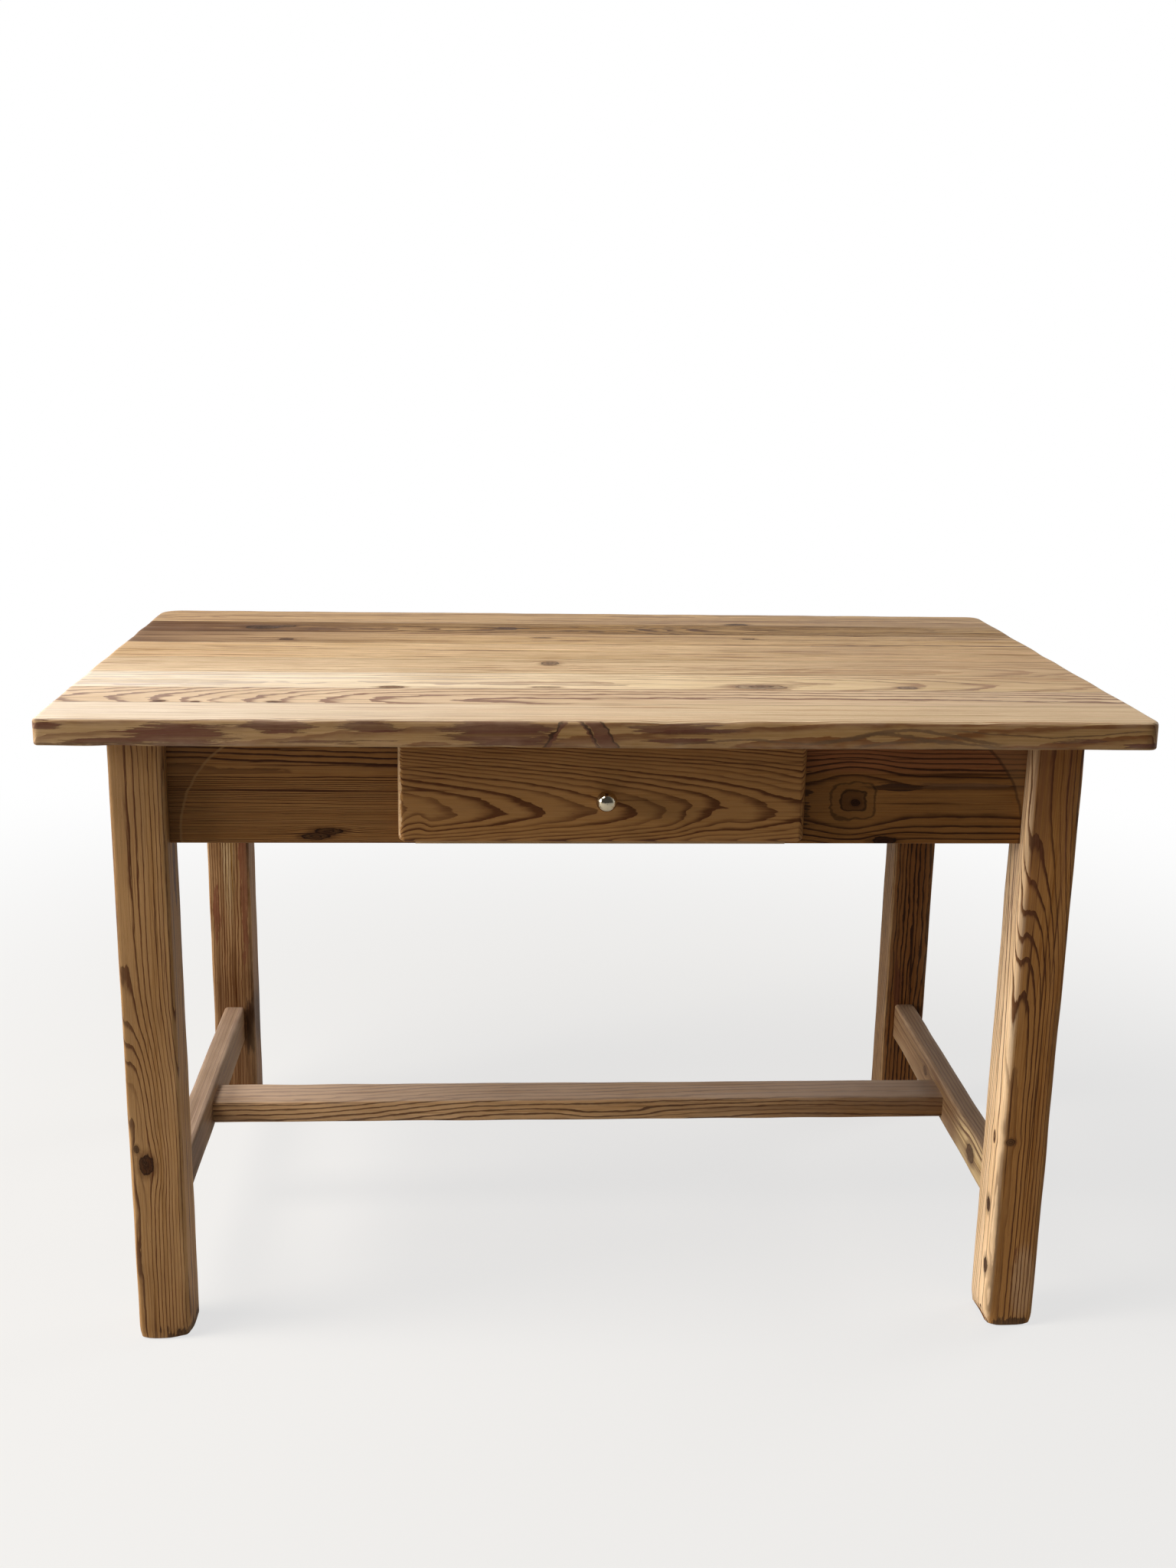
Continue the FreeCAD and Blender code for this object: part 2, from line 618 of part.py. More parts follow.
# ---- The nodes ----
nodes = top_boards()
for name, make in (
    ("leg_front", leg_front_right),
    ("front_apron", front_apron_right),
    ("end_apron", end_apron_right),
    ("side_stretcher", side_stretcher_right),
    ("drawer_runner", runner_right),
    ("drawer_guide", guide_right),
    ("drawer_kicker", kicker_right),
    ("drawer_side", drawer_side_right),
):
    right = make()
    nodes[f"{name}_right"] = right
    nodes[f"{name}_left"] = mirror_x(right)
    if name == "leg_front":
        nodes["leg_back_right"] = mirror_y(right)
        nodes["leg_back_left"] = mirror_y(mirror_x(right))
nodes.update(
    back_apron=back_apron(),
    long_stretcher=long_stretcher(),
    drawer_top_rail=drawer_top_rail(),
    drawer_bottom_rail=drawer_bottom_rail(),
    drawer_front=drawer_front(),
    drawer_back=drawer_back(),
    drawer_bottom=drawer_bottom(),
    drawer_knob=drawer_knob(),
    knob_screw=knob_screw(),
    knob_washer=knob_washer(),
    top_buttons=top_buttons(),
    button_screws=button_screws(),
    bottom_nails=Part.makeCompound(nails()),
)

os.makedirs("parts", exist_ok=True)
for name, shape in nodes.items():
    shape.exportStep(f"parts/{name}.step")
    print(f"{name}: {len(shape.Solids)} solids, valid {shape.isValid()}")
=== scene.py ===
"""Looks of the tavern table: worn pine, a plated ball knob, a plain studio."""

import math

import bpy
import numpy as np
from mathutils import Matrix, Vector


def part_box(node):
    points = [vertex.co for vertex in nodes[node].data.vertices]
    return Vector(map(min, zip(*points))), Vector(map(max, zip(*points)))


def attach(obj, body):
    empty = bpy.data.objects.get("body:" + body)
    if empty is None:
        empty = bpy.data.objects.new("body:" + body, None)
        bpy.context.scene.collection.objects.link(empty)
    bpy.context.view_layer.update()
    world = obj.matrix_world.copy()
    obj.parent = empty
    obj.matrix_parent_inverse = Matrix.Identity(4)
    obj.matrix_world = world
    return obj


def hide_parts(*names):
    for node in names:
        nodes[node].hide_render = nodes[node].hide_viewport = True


MM = 0.001
AXES = {"X": 0, "Y": 1, "Z": 2}
TABLE_BODY = "table_frame"

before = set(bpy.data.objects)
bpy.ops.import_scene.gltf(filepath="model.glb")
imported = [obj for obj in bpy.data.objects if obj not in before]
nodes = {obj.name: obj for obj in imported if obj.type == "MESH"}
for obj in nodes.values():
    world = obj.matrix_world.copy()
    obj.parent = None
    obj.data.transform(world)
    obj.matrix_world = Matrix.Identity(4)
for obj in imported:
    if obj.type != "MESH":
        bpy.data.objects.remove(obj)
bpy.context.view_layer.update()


def node_box(node):
    """The lowest and highest corner of a node's box, in millimetres."""
    low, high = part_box(node)
    return [c / MM for c in low], [c / MM for c in high]


def node_middle(node):
    return [(low + high) / 2 for low, high in zip(*node_box(node))]


# ---- Tones, as linear colours ----

SAPWOOD = (0.88, 0.62, 0.37)
# paler painted light beside the painted shade in the aprons' upper corners
PAINTED_CORNER_LIGHT = (0.33, 0.185, 0.08)
STAIN = (0.115, 0.036, 0.022)
# near black: soot, dark rims and lines, and also painted shade and shadow
SOOT_AND_SHADE = (0.045, 0.018, 0.008)
RUST = (0.14, 0.045, 0.02)
UMBER = (0.15, 0.07, 0.03)
SCUFF = (0.49, 0.28, 0.135)
WORN = (0.60, 0.40, 0.22)
# paler upper sides: dust, and painted light from above
DUST_AND_TOP_LIGHT = (0.62, 0.47, 0.37)
# paler left ends of the top: some sun bleaching, and painted glare where the light from the left falls
# strongest
BLEACH_AND_GLARE = (1.0, 0.98, 0.94)
TOASTED = (0.42, 0.22, 0.085)

# ---- Worn blocks of wood ----

# places of the mesh's first rows from a corner, in millimetres
FIRST_ROWS = (0.9, 2.0, 3.4, 5.2, 7.5, 11.0)
# lengths of the swells in which corners, ends and faces wear, and of an edge's worn tone
CORNER_SWELL, END_SWELL, FACE_SWELL, EDGE_FADE = 140, 120, 90, 6.0
# how far apart the four long edges look up the same noise
EDGE_STEP = 900.0
SHARP_ANGLE = math.radians(50)
# how many sine waves make the swells, and what brings most of their sum within -1 to 1
WAVES, WAVE_SPREAD = 7, 3.2


def wave(points, size, seed):
    """Smooth noise from -1 to 1 at points in millimetres; size is the length of its swells."""
    rng = np.random.default_rng(seed)
    total = np.zeros(len(points))
    for _ in range(WAVES):
        heading = rng.normal(size=3)
        heading /= np.linalg.norm(heading) * size / rng.uniform(0.7, 1.5)
        total += np.sin(2 * math.pi * (points @ heading) + rng.uniform(0, 2 * math.pi))
    return np.clip(total / WAVE_SPREAD, -1, 1)


def stations(low, high, step):
    """Places from low to high, close together at both ends and step apart between."""
    near = [row for row in FIRST_ROWS if row < (high - low) * 0.3]
    first, last = low + (near[-1] if near else 0), high - (near[-1] if near else 0)
    count = max(1, round((last - first) / step))
    middle = [first + (last - first) * i / count for i in range(count + 1)]
    ends = [low + row for row in near[:-1]], [high - row for row in reversed(near[:-1])]
    return np.array([low] * bool(near) + ends[0] + middle + ends[1] + [high] * bool(near))


def lattice(a, b, c):
    """The points of a closed box that has a grid on each side, and its four-sided faces."""
    sizes = len(a), len(b), len(c)
    number = -np.ones(sizes, int)
    index = np.indices(sizes).reshape(3, -1).T
    shell = ((index == 0) | (index == np.array(sizes) - 1)).any(axis=1)
    index = index[shell]
    number[tuple(index.T)] = np.arange(len(index))
    points = np.stack([a[index[:, 0]], b[index[:, 1]], c[index[:, 2]]], axis=1)
    faces = []
    for axis in range(3):
        for end in (0, -1):
            side = np.take(number, end, axis=axis)
            quads = np.stack([side[:-1, :-1], side[1:, :-1], side[1:, 1:], side[:-1, 1:]], axis=-1)
            if (axis == 1) == (end == -1):
                quads = quads[..., ::-1]
            faces.append(quads.reshape(-1, 4))
    return points, np.concatenate(faces)


def round_corner(across, along):
    """Bends the square corner that two lengths from its centre span into a quarter circle."""
    both = (across > 0) & (along > 0)
    scale = np.where(both, np.maximum(across, along) / np.hypot(across, along).clip(1e-9), 1.0)
    return np.where(both, across * scale, across), np.where(both, along * scale, along)


def surface_normals(points, faces):
    quads = points[faces]
    across = np.cross(quads[:, 2] - quads[:, 0], quads[:, 3] - quads[:, 1])
    normals = np.zeros_like(points)
    for corner in range(4):
        np.add.at(normals, faces[:, corner], across)
    return normals / np.linalg.norm(normals, axis=1).clip(1e-9)[:, None]


def make_piece(name, points, faces, edge):
    """A mesh object that also holds how near each of its points is to an edge."""
    mesh = bpy.data.meshes.new(name)
    mesh.from_pydata((points * MM).tolist(), [], faces.tolist())
    mesh.attributes.new("edge", "FLOAT", "POINT").data.foreach_set("value", edge.astype(np.float32))
    mesh.shade_smooth()
    mesh.set_sharp_from_angle(angle=SHARP_ANGLE)
    piece = bpy.data.objects.new(name, mesh)
    bpy.context.scene.collection.objects.link(piece)
    return piece


def worn_block(
    name, box, axis, corners, ends, wear, sag, seed, outline=None, step=6.0, dents=()
):
    """A block of wood with worn edges, inside box.

    Its cross-section lies across axis. corners are the radii at its four corners, from the
    lowest one of both directions and on round, and ends the radii at its two ends. wear is
    the share by which these radii vary, sag how far the faces sink in swells, and dents are
    places with a size and a depth. outline is the larger shape whose edges are worn, for a
    block that is one board of a panel.
    """
    low, high = np.array(box[0], float), np.array(box[1], float)
    c = AXES[axis]
    order = [(c + 1) % 3, (c + 2) % 3, c]
    points, faces = lattice(*(stations(low[i], high[i], step) for i in order))
    out_low, out_high = (np.array(o, float)[order] for o in (outline or (low, high)))
    centre, half = (out_low + out_high)[:2] / 2, (out_high - out_low)[:2] / 2

    # the four long edges
    flat = points[:, :2] - centre
    side = np.where(flat >= 0, 1.0, -1.0)
    quarter = np.select([side.sum(1) < 0, side.sum(1) > 0, side[:, 0] > 0], [0, 2, 1], 3)
    along_edges = np.column_stack([quarter * EDGE_STEP, quarter * 0, points[:, 2]])
    varied = 1 + wear * wave(along_edges, CORNER_SWELL, seed)
    radius = np.array(corners, float)[quarter] * varied
    inner = half - radius[:, None]
    reach = np.abs(flat) - inner
    reach = np.column_stack(round_corner(reach[:, 0], reach[:, 1]))
    flat = side * (inner + reach)
    in_corner = (reach > 0).all(axis=1)
    outward = np.where(
        in_corner[:, None],
        side * reach / np.linalg.norm(reach, axis=1).clip(1e-9)[:, None],
        side * np.column_stack([reach[:, 0] >= reach[:, 1], reach[:, 0] < reach[:, 1]]),
    )
    depth = radius - np.where(in_corner, np.linalg.norm(reach, axis=1), reach.max(axis=1))

    # the edges of the two ends
    height = points[:, 2]
    for way, end, size in ((-1, out_low[2], ends[0]), (1, out_high[2], ends[1])):
        around = size * (1 + wear * wave(np.column_stack([flat, height]), END_SWELL, seed + 7))
        wide, tall = around - depth, way * (height - end) + around
        new_wide, new_tall = round_corner(wide, tall)
        flat = flat + outward * (new_wide - wide)[:, None]
        height = height + way * (new_tall - tall)
    to_walls = np.column_stack([half - np.abs(flat), height - out_low[2], out_high[2] - height])
    edge = np.exp(-np.sort(to_walls, axis=1)[:, 1].clip(0) / EDGE_FADE)
    placed = np.empty_like(points)
    placed[:, order[0]], placed[:, order[1]] = (flat + centre).T
    placed[:, order[2]] = height

    # swells and dents
    sink = sag * (0.5 + 0.5 * wave(placed, FACE_SWELL, seed + 3))
    for place, size, deep in dents:
        sink = sink + deep * np.exp(-(((placed - place) / size) ** 2).sum(axis=1))
    placed = placed - surface_normals(placed, faces) * sink[:, None]
    return make_piece(name, placed, faces, edge)


# ---- Sums with shader sockets ----


class Value:
    """A shader socket that can be added to, multiplied and so on."""

    def __init__(self, tree, socket):
        self.tree, self.socket = tree, socket

    def _math(self, operation, *others, clamp=False):
        node = self.tree.nodes.new("ShaderNodeMath")
        node.operation, node.use_clamp = operation, clamp
        for place, other in zip(node.inputs, (self, *others)):
            if isinstance(other, Value):
                self.tree.links.new(other.socket, place)
            else:
                place.default_value = other
        return Value(self.tree, node.outputs[0])

    def __add__(self, other):
        return self._math("ADD", other)

    def __sub__(self, other):
        return self._math("SUBTRACT", other)

    def __mul__(self, other):
        return self._math("MULTIPLY", other)

    def __truediv__(self, other):
        return self._math("DIVIDE", other)

    __radd__, __rmul__ = __add__, __mul__

    def __rsub__(self, other):
        return self * -1 + other

    def __abs__(self):
        return self._math("ABSOLUTE")

    def at_most(self, other):
        return self._math("MINIMUM", other)

    def at_least(self, other):
        return self._math("MAXIMUM", other)

    def root(self):
        return self._math("SQRT")

    def floor(self):
        return self._math("FLOOR")

    def fall(self):
        """1 where this is 0, and down to 0 far away."""
        return (self * -1)._math("EXPONENT")

    def tanh(self):
        return self._math("TANH")

    def zigzag(self):
        """Goes from 0 to 1 and back, again and again."""
        return self._math("PINGPONG", 1.0)

    def clamped(self):
        """This, kept from 0 to 1."""
        return self._math("ADD", 0.0, clamp=True)

    def between(self, low, high, first=0.0, last=1.0):
        """Goes smoothly from first at low to last at high."""
        node = self.tree.nodes.new("ShaderNodeMapRange")
        node.interpolation_type = "SMOOTHSTEP"
        self.tree.links.new(self.socket, node.inputs["Value"])
        limits = {"From Min": low, "From Max": high, "To Min": first, "To Max": last}
        for key, value in limits.items():
            node.inputs[key].default_value = value
        return Value(self.tree, node.outputs["Result"])


def noise(tree, place, sizes, detail=2.0, roughness=0.5):
    """Noise about 0, mostly from -1 to 1, whose swells are sizes long in millimetres."""
    joined = tree.nodes.new("ShaderNodeCombineXYZ")
    for socket, value, size in zip(joined.inputs, place, sizes):
        tree.links.new((value / size).socket, socket)
    node = tree.nodes.new("ShaderNodeTexNoise")
    node.inputs["Scale"].default_value = 1.0
    node.inputs["Detail"].default_value = detail
    node.inputs["Roughness"].default_value = roughness
    tree.links.new(joined.outputs[0], node.inputs["Vector"])
    return Value(tree, node.outputs["Fac"]) * 4.0 - 2.0


def blend(tree, share, first, second, way="MIX"):
    """The colour first with a share of second mixed in; either may be a socket or a colour."""
    node = tree.nodes.new("ShaderNodeMix")
    node.data_type, node.blend_type = "RGBA", way
    sockets = node.inputs[0], node.inputs[6], node.inputs[7]
    for socket, value in zip(sockets, (share, first, second)):
        if isinstance(value, Value):
            tree.links.new(value.socket, socket)
        elif isinstance(value, (int, float)):
            socket.default_value = value
        elif isinstance(value, bpy.types.NodeSocket):
            tree.links.new(value, socket)
        else:
            socket.default_value = (*value, 1.0)
    return node.outputs[2]


def new_material(name):
    made = bpy.data.materials.new(name)
    made.use_nodes = True
    shader = made.node_tree.nodes["Principled BSDF"]
    return made, made.node_tree, shader


def add_bump(tree, shader, height, strength, distance):
    bump = tree.nodes.new("ShaderNodeBump")
    bump.inputs["Strength"].default_value = strength
    bump.inputs["Distance"].default_value = distance
    tree.links.new(height.socket, bump.inputs["Height"])
    tree.links.new(bump.outputs[0], shader.inputs["Normal"])


def object_place(tree):
    """The surface's own place in millimetres, as three values."""
    where = tree.nodes.new("ShaderNodeTexCoord")
    apart = tree.nodes.new("ShaderNodeSeparateXYZ")
    tree.links.new(where.outputs["Object"], apart.inputs[0])
    return [Value(tree, o) * 1000.0 for o in apart.outputs]


# ---- Pine ----

# lengths of the noises' swells: along the grain, sideways and deep
SLOW = (230.0, 60.0, 60.0)
QUICK = (38.0, 9.0, 9.0)
LUMPS = (15.0, 9.0, 9.0)
RAGGED = (5.0, 3.0, 3.0)
FIBRE = (70.0, 1.0, 1.0)
CLOUD = (170.0, 120.0, 120.0)
TORN = (75.0, 7.0, 3.4)
PORE = (9.0, 0.55, 0.55)
RUB = (55.0, 22.0, 22.0)
# and along and across the grain, for those that coarse widens
STRAND = (260.0, 2.4)
BAND = (420.0, 11.0)
STREAK = (330.0, 4.5)
# how far the noise moves from one seed to the next, and for the streaks
SEED_STEP, STREAK_SHIFT = 371.0, 77.0


class Pine:
    """The material of one node of solid pine, whose surface shows the growth rings it cuts.

    Lengths are in millimetres. u is the place along the grain, from the middle of the table
    or from the floor. w is the place along the direction that the best side looks in, and v
    the one sideways, both from the node's own middle. A spot is given as (u, letter, at,
    length, width), where the letter names the axis that at and width are measured along.
    """

    def __init__(self, node, axis, face, early, late, side_stain, seed):
        self.material, self.tree, self.shader = new_material(f"pine_{node}")
        place = dict(zip("XYZ", object_place(self.tree)))
        middle = dict(zip("XYZ", node_middle(node)))
        self.side_letter = (set("XYZ") - {axis, face}).pop()
        self.across = {c: place[c] - middle[c] for c in (self.side_letter, face)}
        self.u, self.v, self.w = place[axis], self.across[self.side_letter], self.across[face]
        self.shifted = [place[c] + seed * SEED_STEP for c in (axis, self.side_letter, face)]
        self.early, self.late, self.side_stain = early, late, side_stain
        self.black = [c * 0.3 for c in late]
        geometry = self.tree.nodes.new("ShaderNodeNewGeometry")
        normal = self.tree.nodes.new("ShaderNodeSeparateXYZ")
        self.tree.links.new(geometry.outputs["Normal"], normal.inputs[0])
        self.low_side = Value(self.tree, normal.outputs[2]).between(0.35, 0.9, 1.0, 0.0)
        self.end = abs(Value(self.tree, normal.outputs[AXES[axis]])).between(0.75, 0.98)
        self.quick = self.noise(QUICK, detail=3.0)
        self.lumps = self.noise(LUMPS, roughness=0.6)
        self.ragged = self.noise(RAGGED)

    def noise(self, sizes, detail=2.0, roughness=0.5, shift=0.0):
        place = [value + shift for value in self.shifted] if shift else self.shifted
        return noise(self.tree, place, sizes, detail, roughness)

    def apart(self, spot_u, letter, at, length, width):
        """The square of the distance from a spot's middle, in the spot's own lengths."""
        along, across = (self.u - spot_u) / length, (self.across[letter] - at) / width
        return along * along + across * across

    def line(self, numbers):
        """A line along the grain, from its place at u = 0 and its rise in 100 mm."""
        start, rise = numbers
        return self.u / 100.0 * rise + start

    def tint(self, share, tone, way="MIX"):
        """Mixes a share of a tone into the colour."""
        self.colour = blend(self.tree, share, self.colour, tone, way)

    def find_loops(self, loops):
        """Ringed knots (u, letter, at, half length, half width) and how they push the rings."""
        self.near_loops, self.pushes = [], []
        for loop_u, letter, at, half_length, half_width in loops:
            bend = self.apart(loop_u, letter, at, half_length * 1.7, half_width * 1.7).fall()
            self.pushes.append((self.v - at) * bend * 0.9)
            along = (self.u - loop_u) / half_length
            across = (self.across[letter] - at) / half_width
            along, across = along * along, across * across
            away = (along * along + across * across).root().root()
            self.near_loops.append(away + self.quick * 0.06 + self.lumps * 0.08)

    def find_knots(self, knots):
        """Plain knots (u, letter, at, half length, half width, darkness)."""
        self.near_knots = []
        for knot_u, letter, at, half_length, half_width, darkness in knots:
            if letter == self.side_letter:
                bend = self.apart(knot_u, letter, at, half_length * 2.6, half_width * 2.0).fall()
                self.pushes.append((self.v - at) * bend * 0.8)
            away = self.apart(knot_u, letter, at, half_length, half_width).root()
            self.near_knots.append((away + self.lumps * 0.2 + self.ragged * 0.08, darkness))

    def cut_rings(self, pith, depth, ring, open_up, open_down, wobble, thin, arches, swells):
        """Works out dark, the share of late wood, from the distance to the log's middle."""
        v_from = self.v - self.line(pith)
        for push in self.pushes:
            v_from = v_from - push
        if (open_up, open_down) != (1.0, 1.0):
            v_from = v_from.at_least(0.0) * open_up + v_from.at_most(0.0) * open_down
        w_from = self.w - self.line(depth)
        for arch_u, length, rise in arches:
            w_from = w_from + ((self.u - arch_u) / length).tanh() * rise
        radius = (v_from * v_from + w_from * w_from).root()
        slow = self.noise(SLOW, detail=1.0)
        rings = (radius + slow * wobble + self.quick * wobble * 0.45) / ring
        for *spot, lift in swells:
            near = self.apart(*spot)
            rings = rings + (near * near).fall() * lift
        whole = rings.floor()
        part = rings - whole
        white = self.tree.nodes.new("ShaderNodeTexWhiteNoise")
        white.noise_dimensions = "1D"
        self.tree.links.new(whole.socket, white.inputs["W"])
        each = Value(self.tree, white.outputs["Value"])
        # late wood comes slowly and ends at once, and no two rings are equally dark
        rise = part.between(thin, 0.92)
        self.dark = (rise * rise * part.between(0.95, 1.0, 1.0, 0.0)) * (each * 1.1 + 0.35)

    def find_streaks(self, coarse):
        """The noises that run along the grain, and the one that makes clouds."""

        def widened(sizes):
            length, width = sizes
            return length, width * coarse, width * coarse

        self.fibre = self.noise(FIBRE, detail=3.0, roughness=0.65)
        self.strand = self.noise(widened(STRAND), detail=3.0, roughness=0.7)
        self.band = self.noise(widened(BAND), detail=3.0, roughness=0.6)
        self.streak = self.noise(widened(STREAK), detail=4.0, roughness=0.65, shift=STREAK_SHIFT)
        self.cloud = self.noise(CLOUD, detail=3.0)

    def lay_colour(self, strength, lively, under):
        """Early wood, other tones under it in places, and late wood over it."""
        self.colour = self.early
        for tone, *spot, amount in under:
            near = self.apart(*spot).fall() * amount + self.strand * 0.08
            self.tint(near.between(0.3, 0.65) * self.low_side, tone)
        self.drawn = self.streak.between(0.3, 0.75, 0.0, 0.55 * lively)
        rings = self.dark * strength * (self.fibre * 0.3 + 1.0)
        share = rings + (self.band * 0.16 + self.strand * 0.22) * lively + self.drawn + 0.06
        self.tint(share.clamped(), self.late)

    def fade_ends(self, fades):
        """Ends with another tone, whose border is streaky."""
        streaky = self.u + self.band * 170.0 + self.strand * 80.0
        for tone, first_u, last_u, amount in fades:
            low_u, high_u = sorted((first_u, last_u))
            ends = (amount, 0.0) if first_u < last_u else (0.0, amount)
            self.tint(streaky.between(low_u, high_u, *ends), tone)

    def vary_brightness(self, lively, patina):
        """Brighter and darker fibres and clouds; blue changes most, so that dark ones are warm."""
        pale = self.streak.between(-0.95, -0.25, 0.16 * lively, 0.0)
        grain = (self.fibre * 0.17 + self.strand * 0.19) * lively
        bright = grain + (self.band * 2.0 + self.cloud) * patina + pale + 1.0
        joined = self.tree.nodes.new("ShaderNodeCombineColor")
        for socket, warm in zip(joined.inputs, (0.8, 1.0, 1.3)):
            self.tree.links.new(((bright - 1.0) * warm + 1.0).socket, socket)
        self.variation = joined.outputs[0]
        self.tint(1.0, self.variation, "MULTIPLY")
        if self.side_stain:
            self.tint(self.low_side, self.side_stain, "MULTIPLY")

    def stain_spots(self, patches):
        """Torn and stained patches, and patches of painted shadow."""
        spots = {}
        for tone, *spot, amount in patches:
            near = self.apart(*spot).fall() * amount
            spots[tone] = spots[tone].at_least(near) if tone in spots else near
        torn = self.noise(TORN, detail=5.0, roughness=0.7)
        for tone, near in spots.items():
            deep = near + torn * 0.5
            shown = deep.between(0.45, 0.56, 0.0, 0.95) * (self.strand * 0.4 + 0.9).clamped()
            if self.side_stain:
                shown = shown * self.low_side
            self.tint(shown, blend(self.tree, 1.0, tone, self.variation, "MULTIPLY"))
            if self.side_stain:
                brink = abs(deep - 0.5).between(0.0, 0.07, 0.6, 0.0)
                self.tint(brink * self.low_side, SOOT_AND_SHADE)

    def pale_top(self, dust_and_top_light):
        """Dust, and the paler tone that light gives to what looks up."""
        if dust_and_top_light:
            uneven = (self.cloud * 0.4 + self.band * 0.3 + 0.9).clamped()
            self.tint((1.0 - self.low_side) * uneven * dust_and_top_light, DUST_AND_TOP_LIGHT)

    def paint_corner_shades(self, corner_shades):
        """Arcs with another tone outside them and a line along them: painted shade and light in
        corners.
        """
        for tone, rim_u, letter, at, radius, way, amount, line_tone in corner_shades:
            off = self.apart(rim_u, letter, at, radius, radius).root() + self.quick * 0.008
            outer = ((self.u - rim_u) * way).between(50, 75)
            self.tint(off.between(0.985, 1.02, 0.0, amount) * outer, tone)
            self.tint(abs(off - 1.0).between(0.004, 0.018, 0.6, 0.0) * outer, line_tone)

    def open_pores(self):
        """Darker pores, and the relief that rings, fibres and pores have."""
        pore = self.noise(PORE, detail=1.0).between(0.8, 1.3)
        self.tint(pore * 0.45, [c * 0.5 for c in self.late])
        grain = self.dark * 0.5 + self.fibre * 0.2 + pore * -0.5
        self.relief = grain + self.cloud * 0.2 - self.drawn * 0.3

    def draw_strokes(self, strokes):
        """Single dark lines that arch."""
        for stroke_u, letter, at, length, height, weight in strokes:
            t = (self.u - stroke_u) / length
            curve = (t * t).fall() * height + self.quick * 1.6 + at
            off = abs((self.across[letter] - curve) / weight) + self.ragged * 0.25
            ends = (t * t).between(1.3, 2.2, 1.0, 0.0)
            self.tint(off.between(0.5, 1.2, 0.8, 0.0) * ends, self.black)

    def draw_fans(self, fans):
        """Dark lines that spread downwards from a place, each with brown beside it."""
        for fan_u, letter, at, slope, lines in fans:
            for way, distance, width in lines:
                spread = (self.across[letter] - at) * slope + (self.u - fan_u) * way
                spread = spread + self.lumps * 2.4 + self.quick * 1.8
                off = spread - distance + self.ragged * 0.6
                near = off.between(14.0, 20.0, 1.0, 0.0) * self.low_side
                fringe = off.between(-width - 1.5, -width) * off.between(0.0, 0.9, 1.0, 0.0)
                self.tint(fringe * near * 0.85, STAIN)
                weight = abs(off + self.lumps * 0.6).between(0.9, 2.2, 0.95, 0.0)
                self.tint(weight * near, SOOT_AND_SHADE)

    def draw_loops(self):
        """Ringed knots have two dark outlines around a darker inside."""
        for away in self.near_loops:
            inside = away.between(0.94, 1.0, 1.0, 0.0)
            self.tint(inside * 0.45, [c * 0.7 for c in self.early])
            self.tint(away.between(0.6, 0.5, 0.0, 0.6), self.late)
            for distance, amount in ((0.56, 0.75), (1.0, 0.6)):
                self.tint(abs(away - distance).between(0.02, 0.085, amount, 0.0), self.black)
            self.relief = self.relief - inside * 0.2

    def draw_knots(self):
        """Plain knots have rings and a crack, a dark rim and a shade around them."""
        for away, darkness in self.near_knots:
            self.tint(away.between(1.0, 1.9, 0.55, 0.0), [c * 0.9 for c in self.late])
            pale_share, late_share = 0.5 * (1 - darkness), 0.7 * darkness
            tone = [a * pale_share + b * late_share for a, b in zip(self.early, self.late)]
            deep_tone = [c * (0.8 - 0.5 * darkness) for c in self.late]
            rings = (away * 3.3 + self.lumps * 0.2).zigzag()
            heart = blend(self.tree, rings * rings, tone, deep_tone)
            rim = away.between(0.72, 0.96, 0.0, 0.4 + 0.4 * darkness)
            heart = blend(self.tree, rim, heart, self.black)
            crack = abs(self.lumps).between(0.0, 0.13, 0.9 * darkness, 0.0)
            heart = blend(self.tree, crack, heart, self.black)
            inside = away.between(0.94, 1.08, 1.0, 0.0)
            self.tint(inside, heart)
            self.relief = self.relief + inside * (0.6 - crack)

    def darken_joints(self, joints):
        """Dirt in the glued joints."""
        for joint in joints:
            close = abs(self.v - joint) + self.quick * 0.12
            self.tint(close.between(0.25, 1.1, 0.6, 0.0), self.black)

    def wear_edges(self, edge_tone):
        """Edges that hands and cloths have worn, by the mesh's attribute edge."""
        attribute = self.tree.nodes.new("ShaderNodeAttribute")
        attribute.attribute_name = "edge"
        worn = Value(self.tree, attribute.outputs["Fac"])
        rub = self.noise(RUB, detail=4.0, roughness=0.65)
        self.tint((worn * (rub * 0.9 + 0.7) * 0.3).clamped(), edge_tone)

    def darken_ends(self):
        """End grain, which drinks more oil."""
        self.tint(self.end * 0.45, [c * 0.8 for c in self.late])

    def finish(self, rough, shine):
        self.tree.links.new(self.colour, self.shader.inputs["Base Color"])
        sheen = self.dark * -0.10 + self.cloud * 0.04 + self.fibre * 0.03 + rough
        self.tree.links.new(sheen.clamped().socket, self.shader.inputs["Roughness"])
        self.shader.inputs["Specular IOR Level"].default_value = shine
        add_bump(self.tree, self.shader, self.relief, strength=0.7, distance=0.0005)
        return self.material


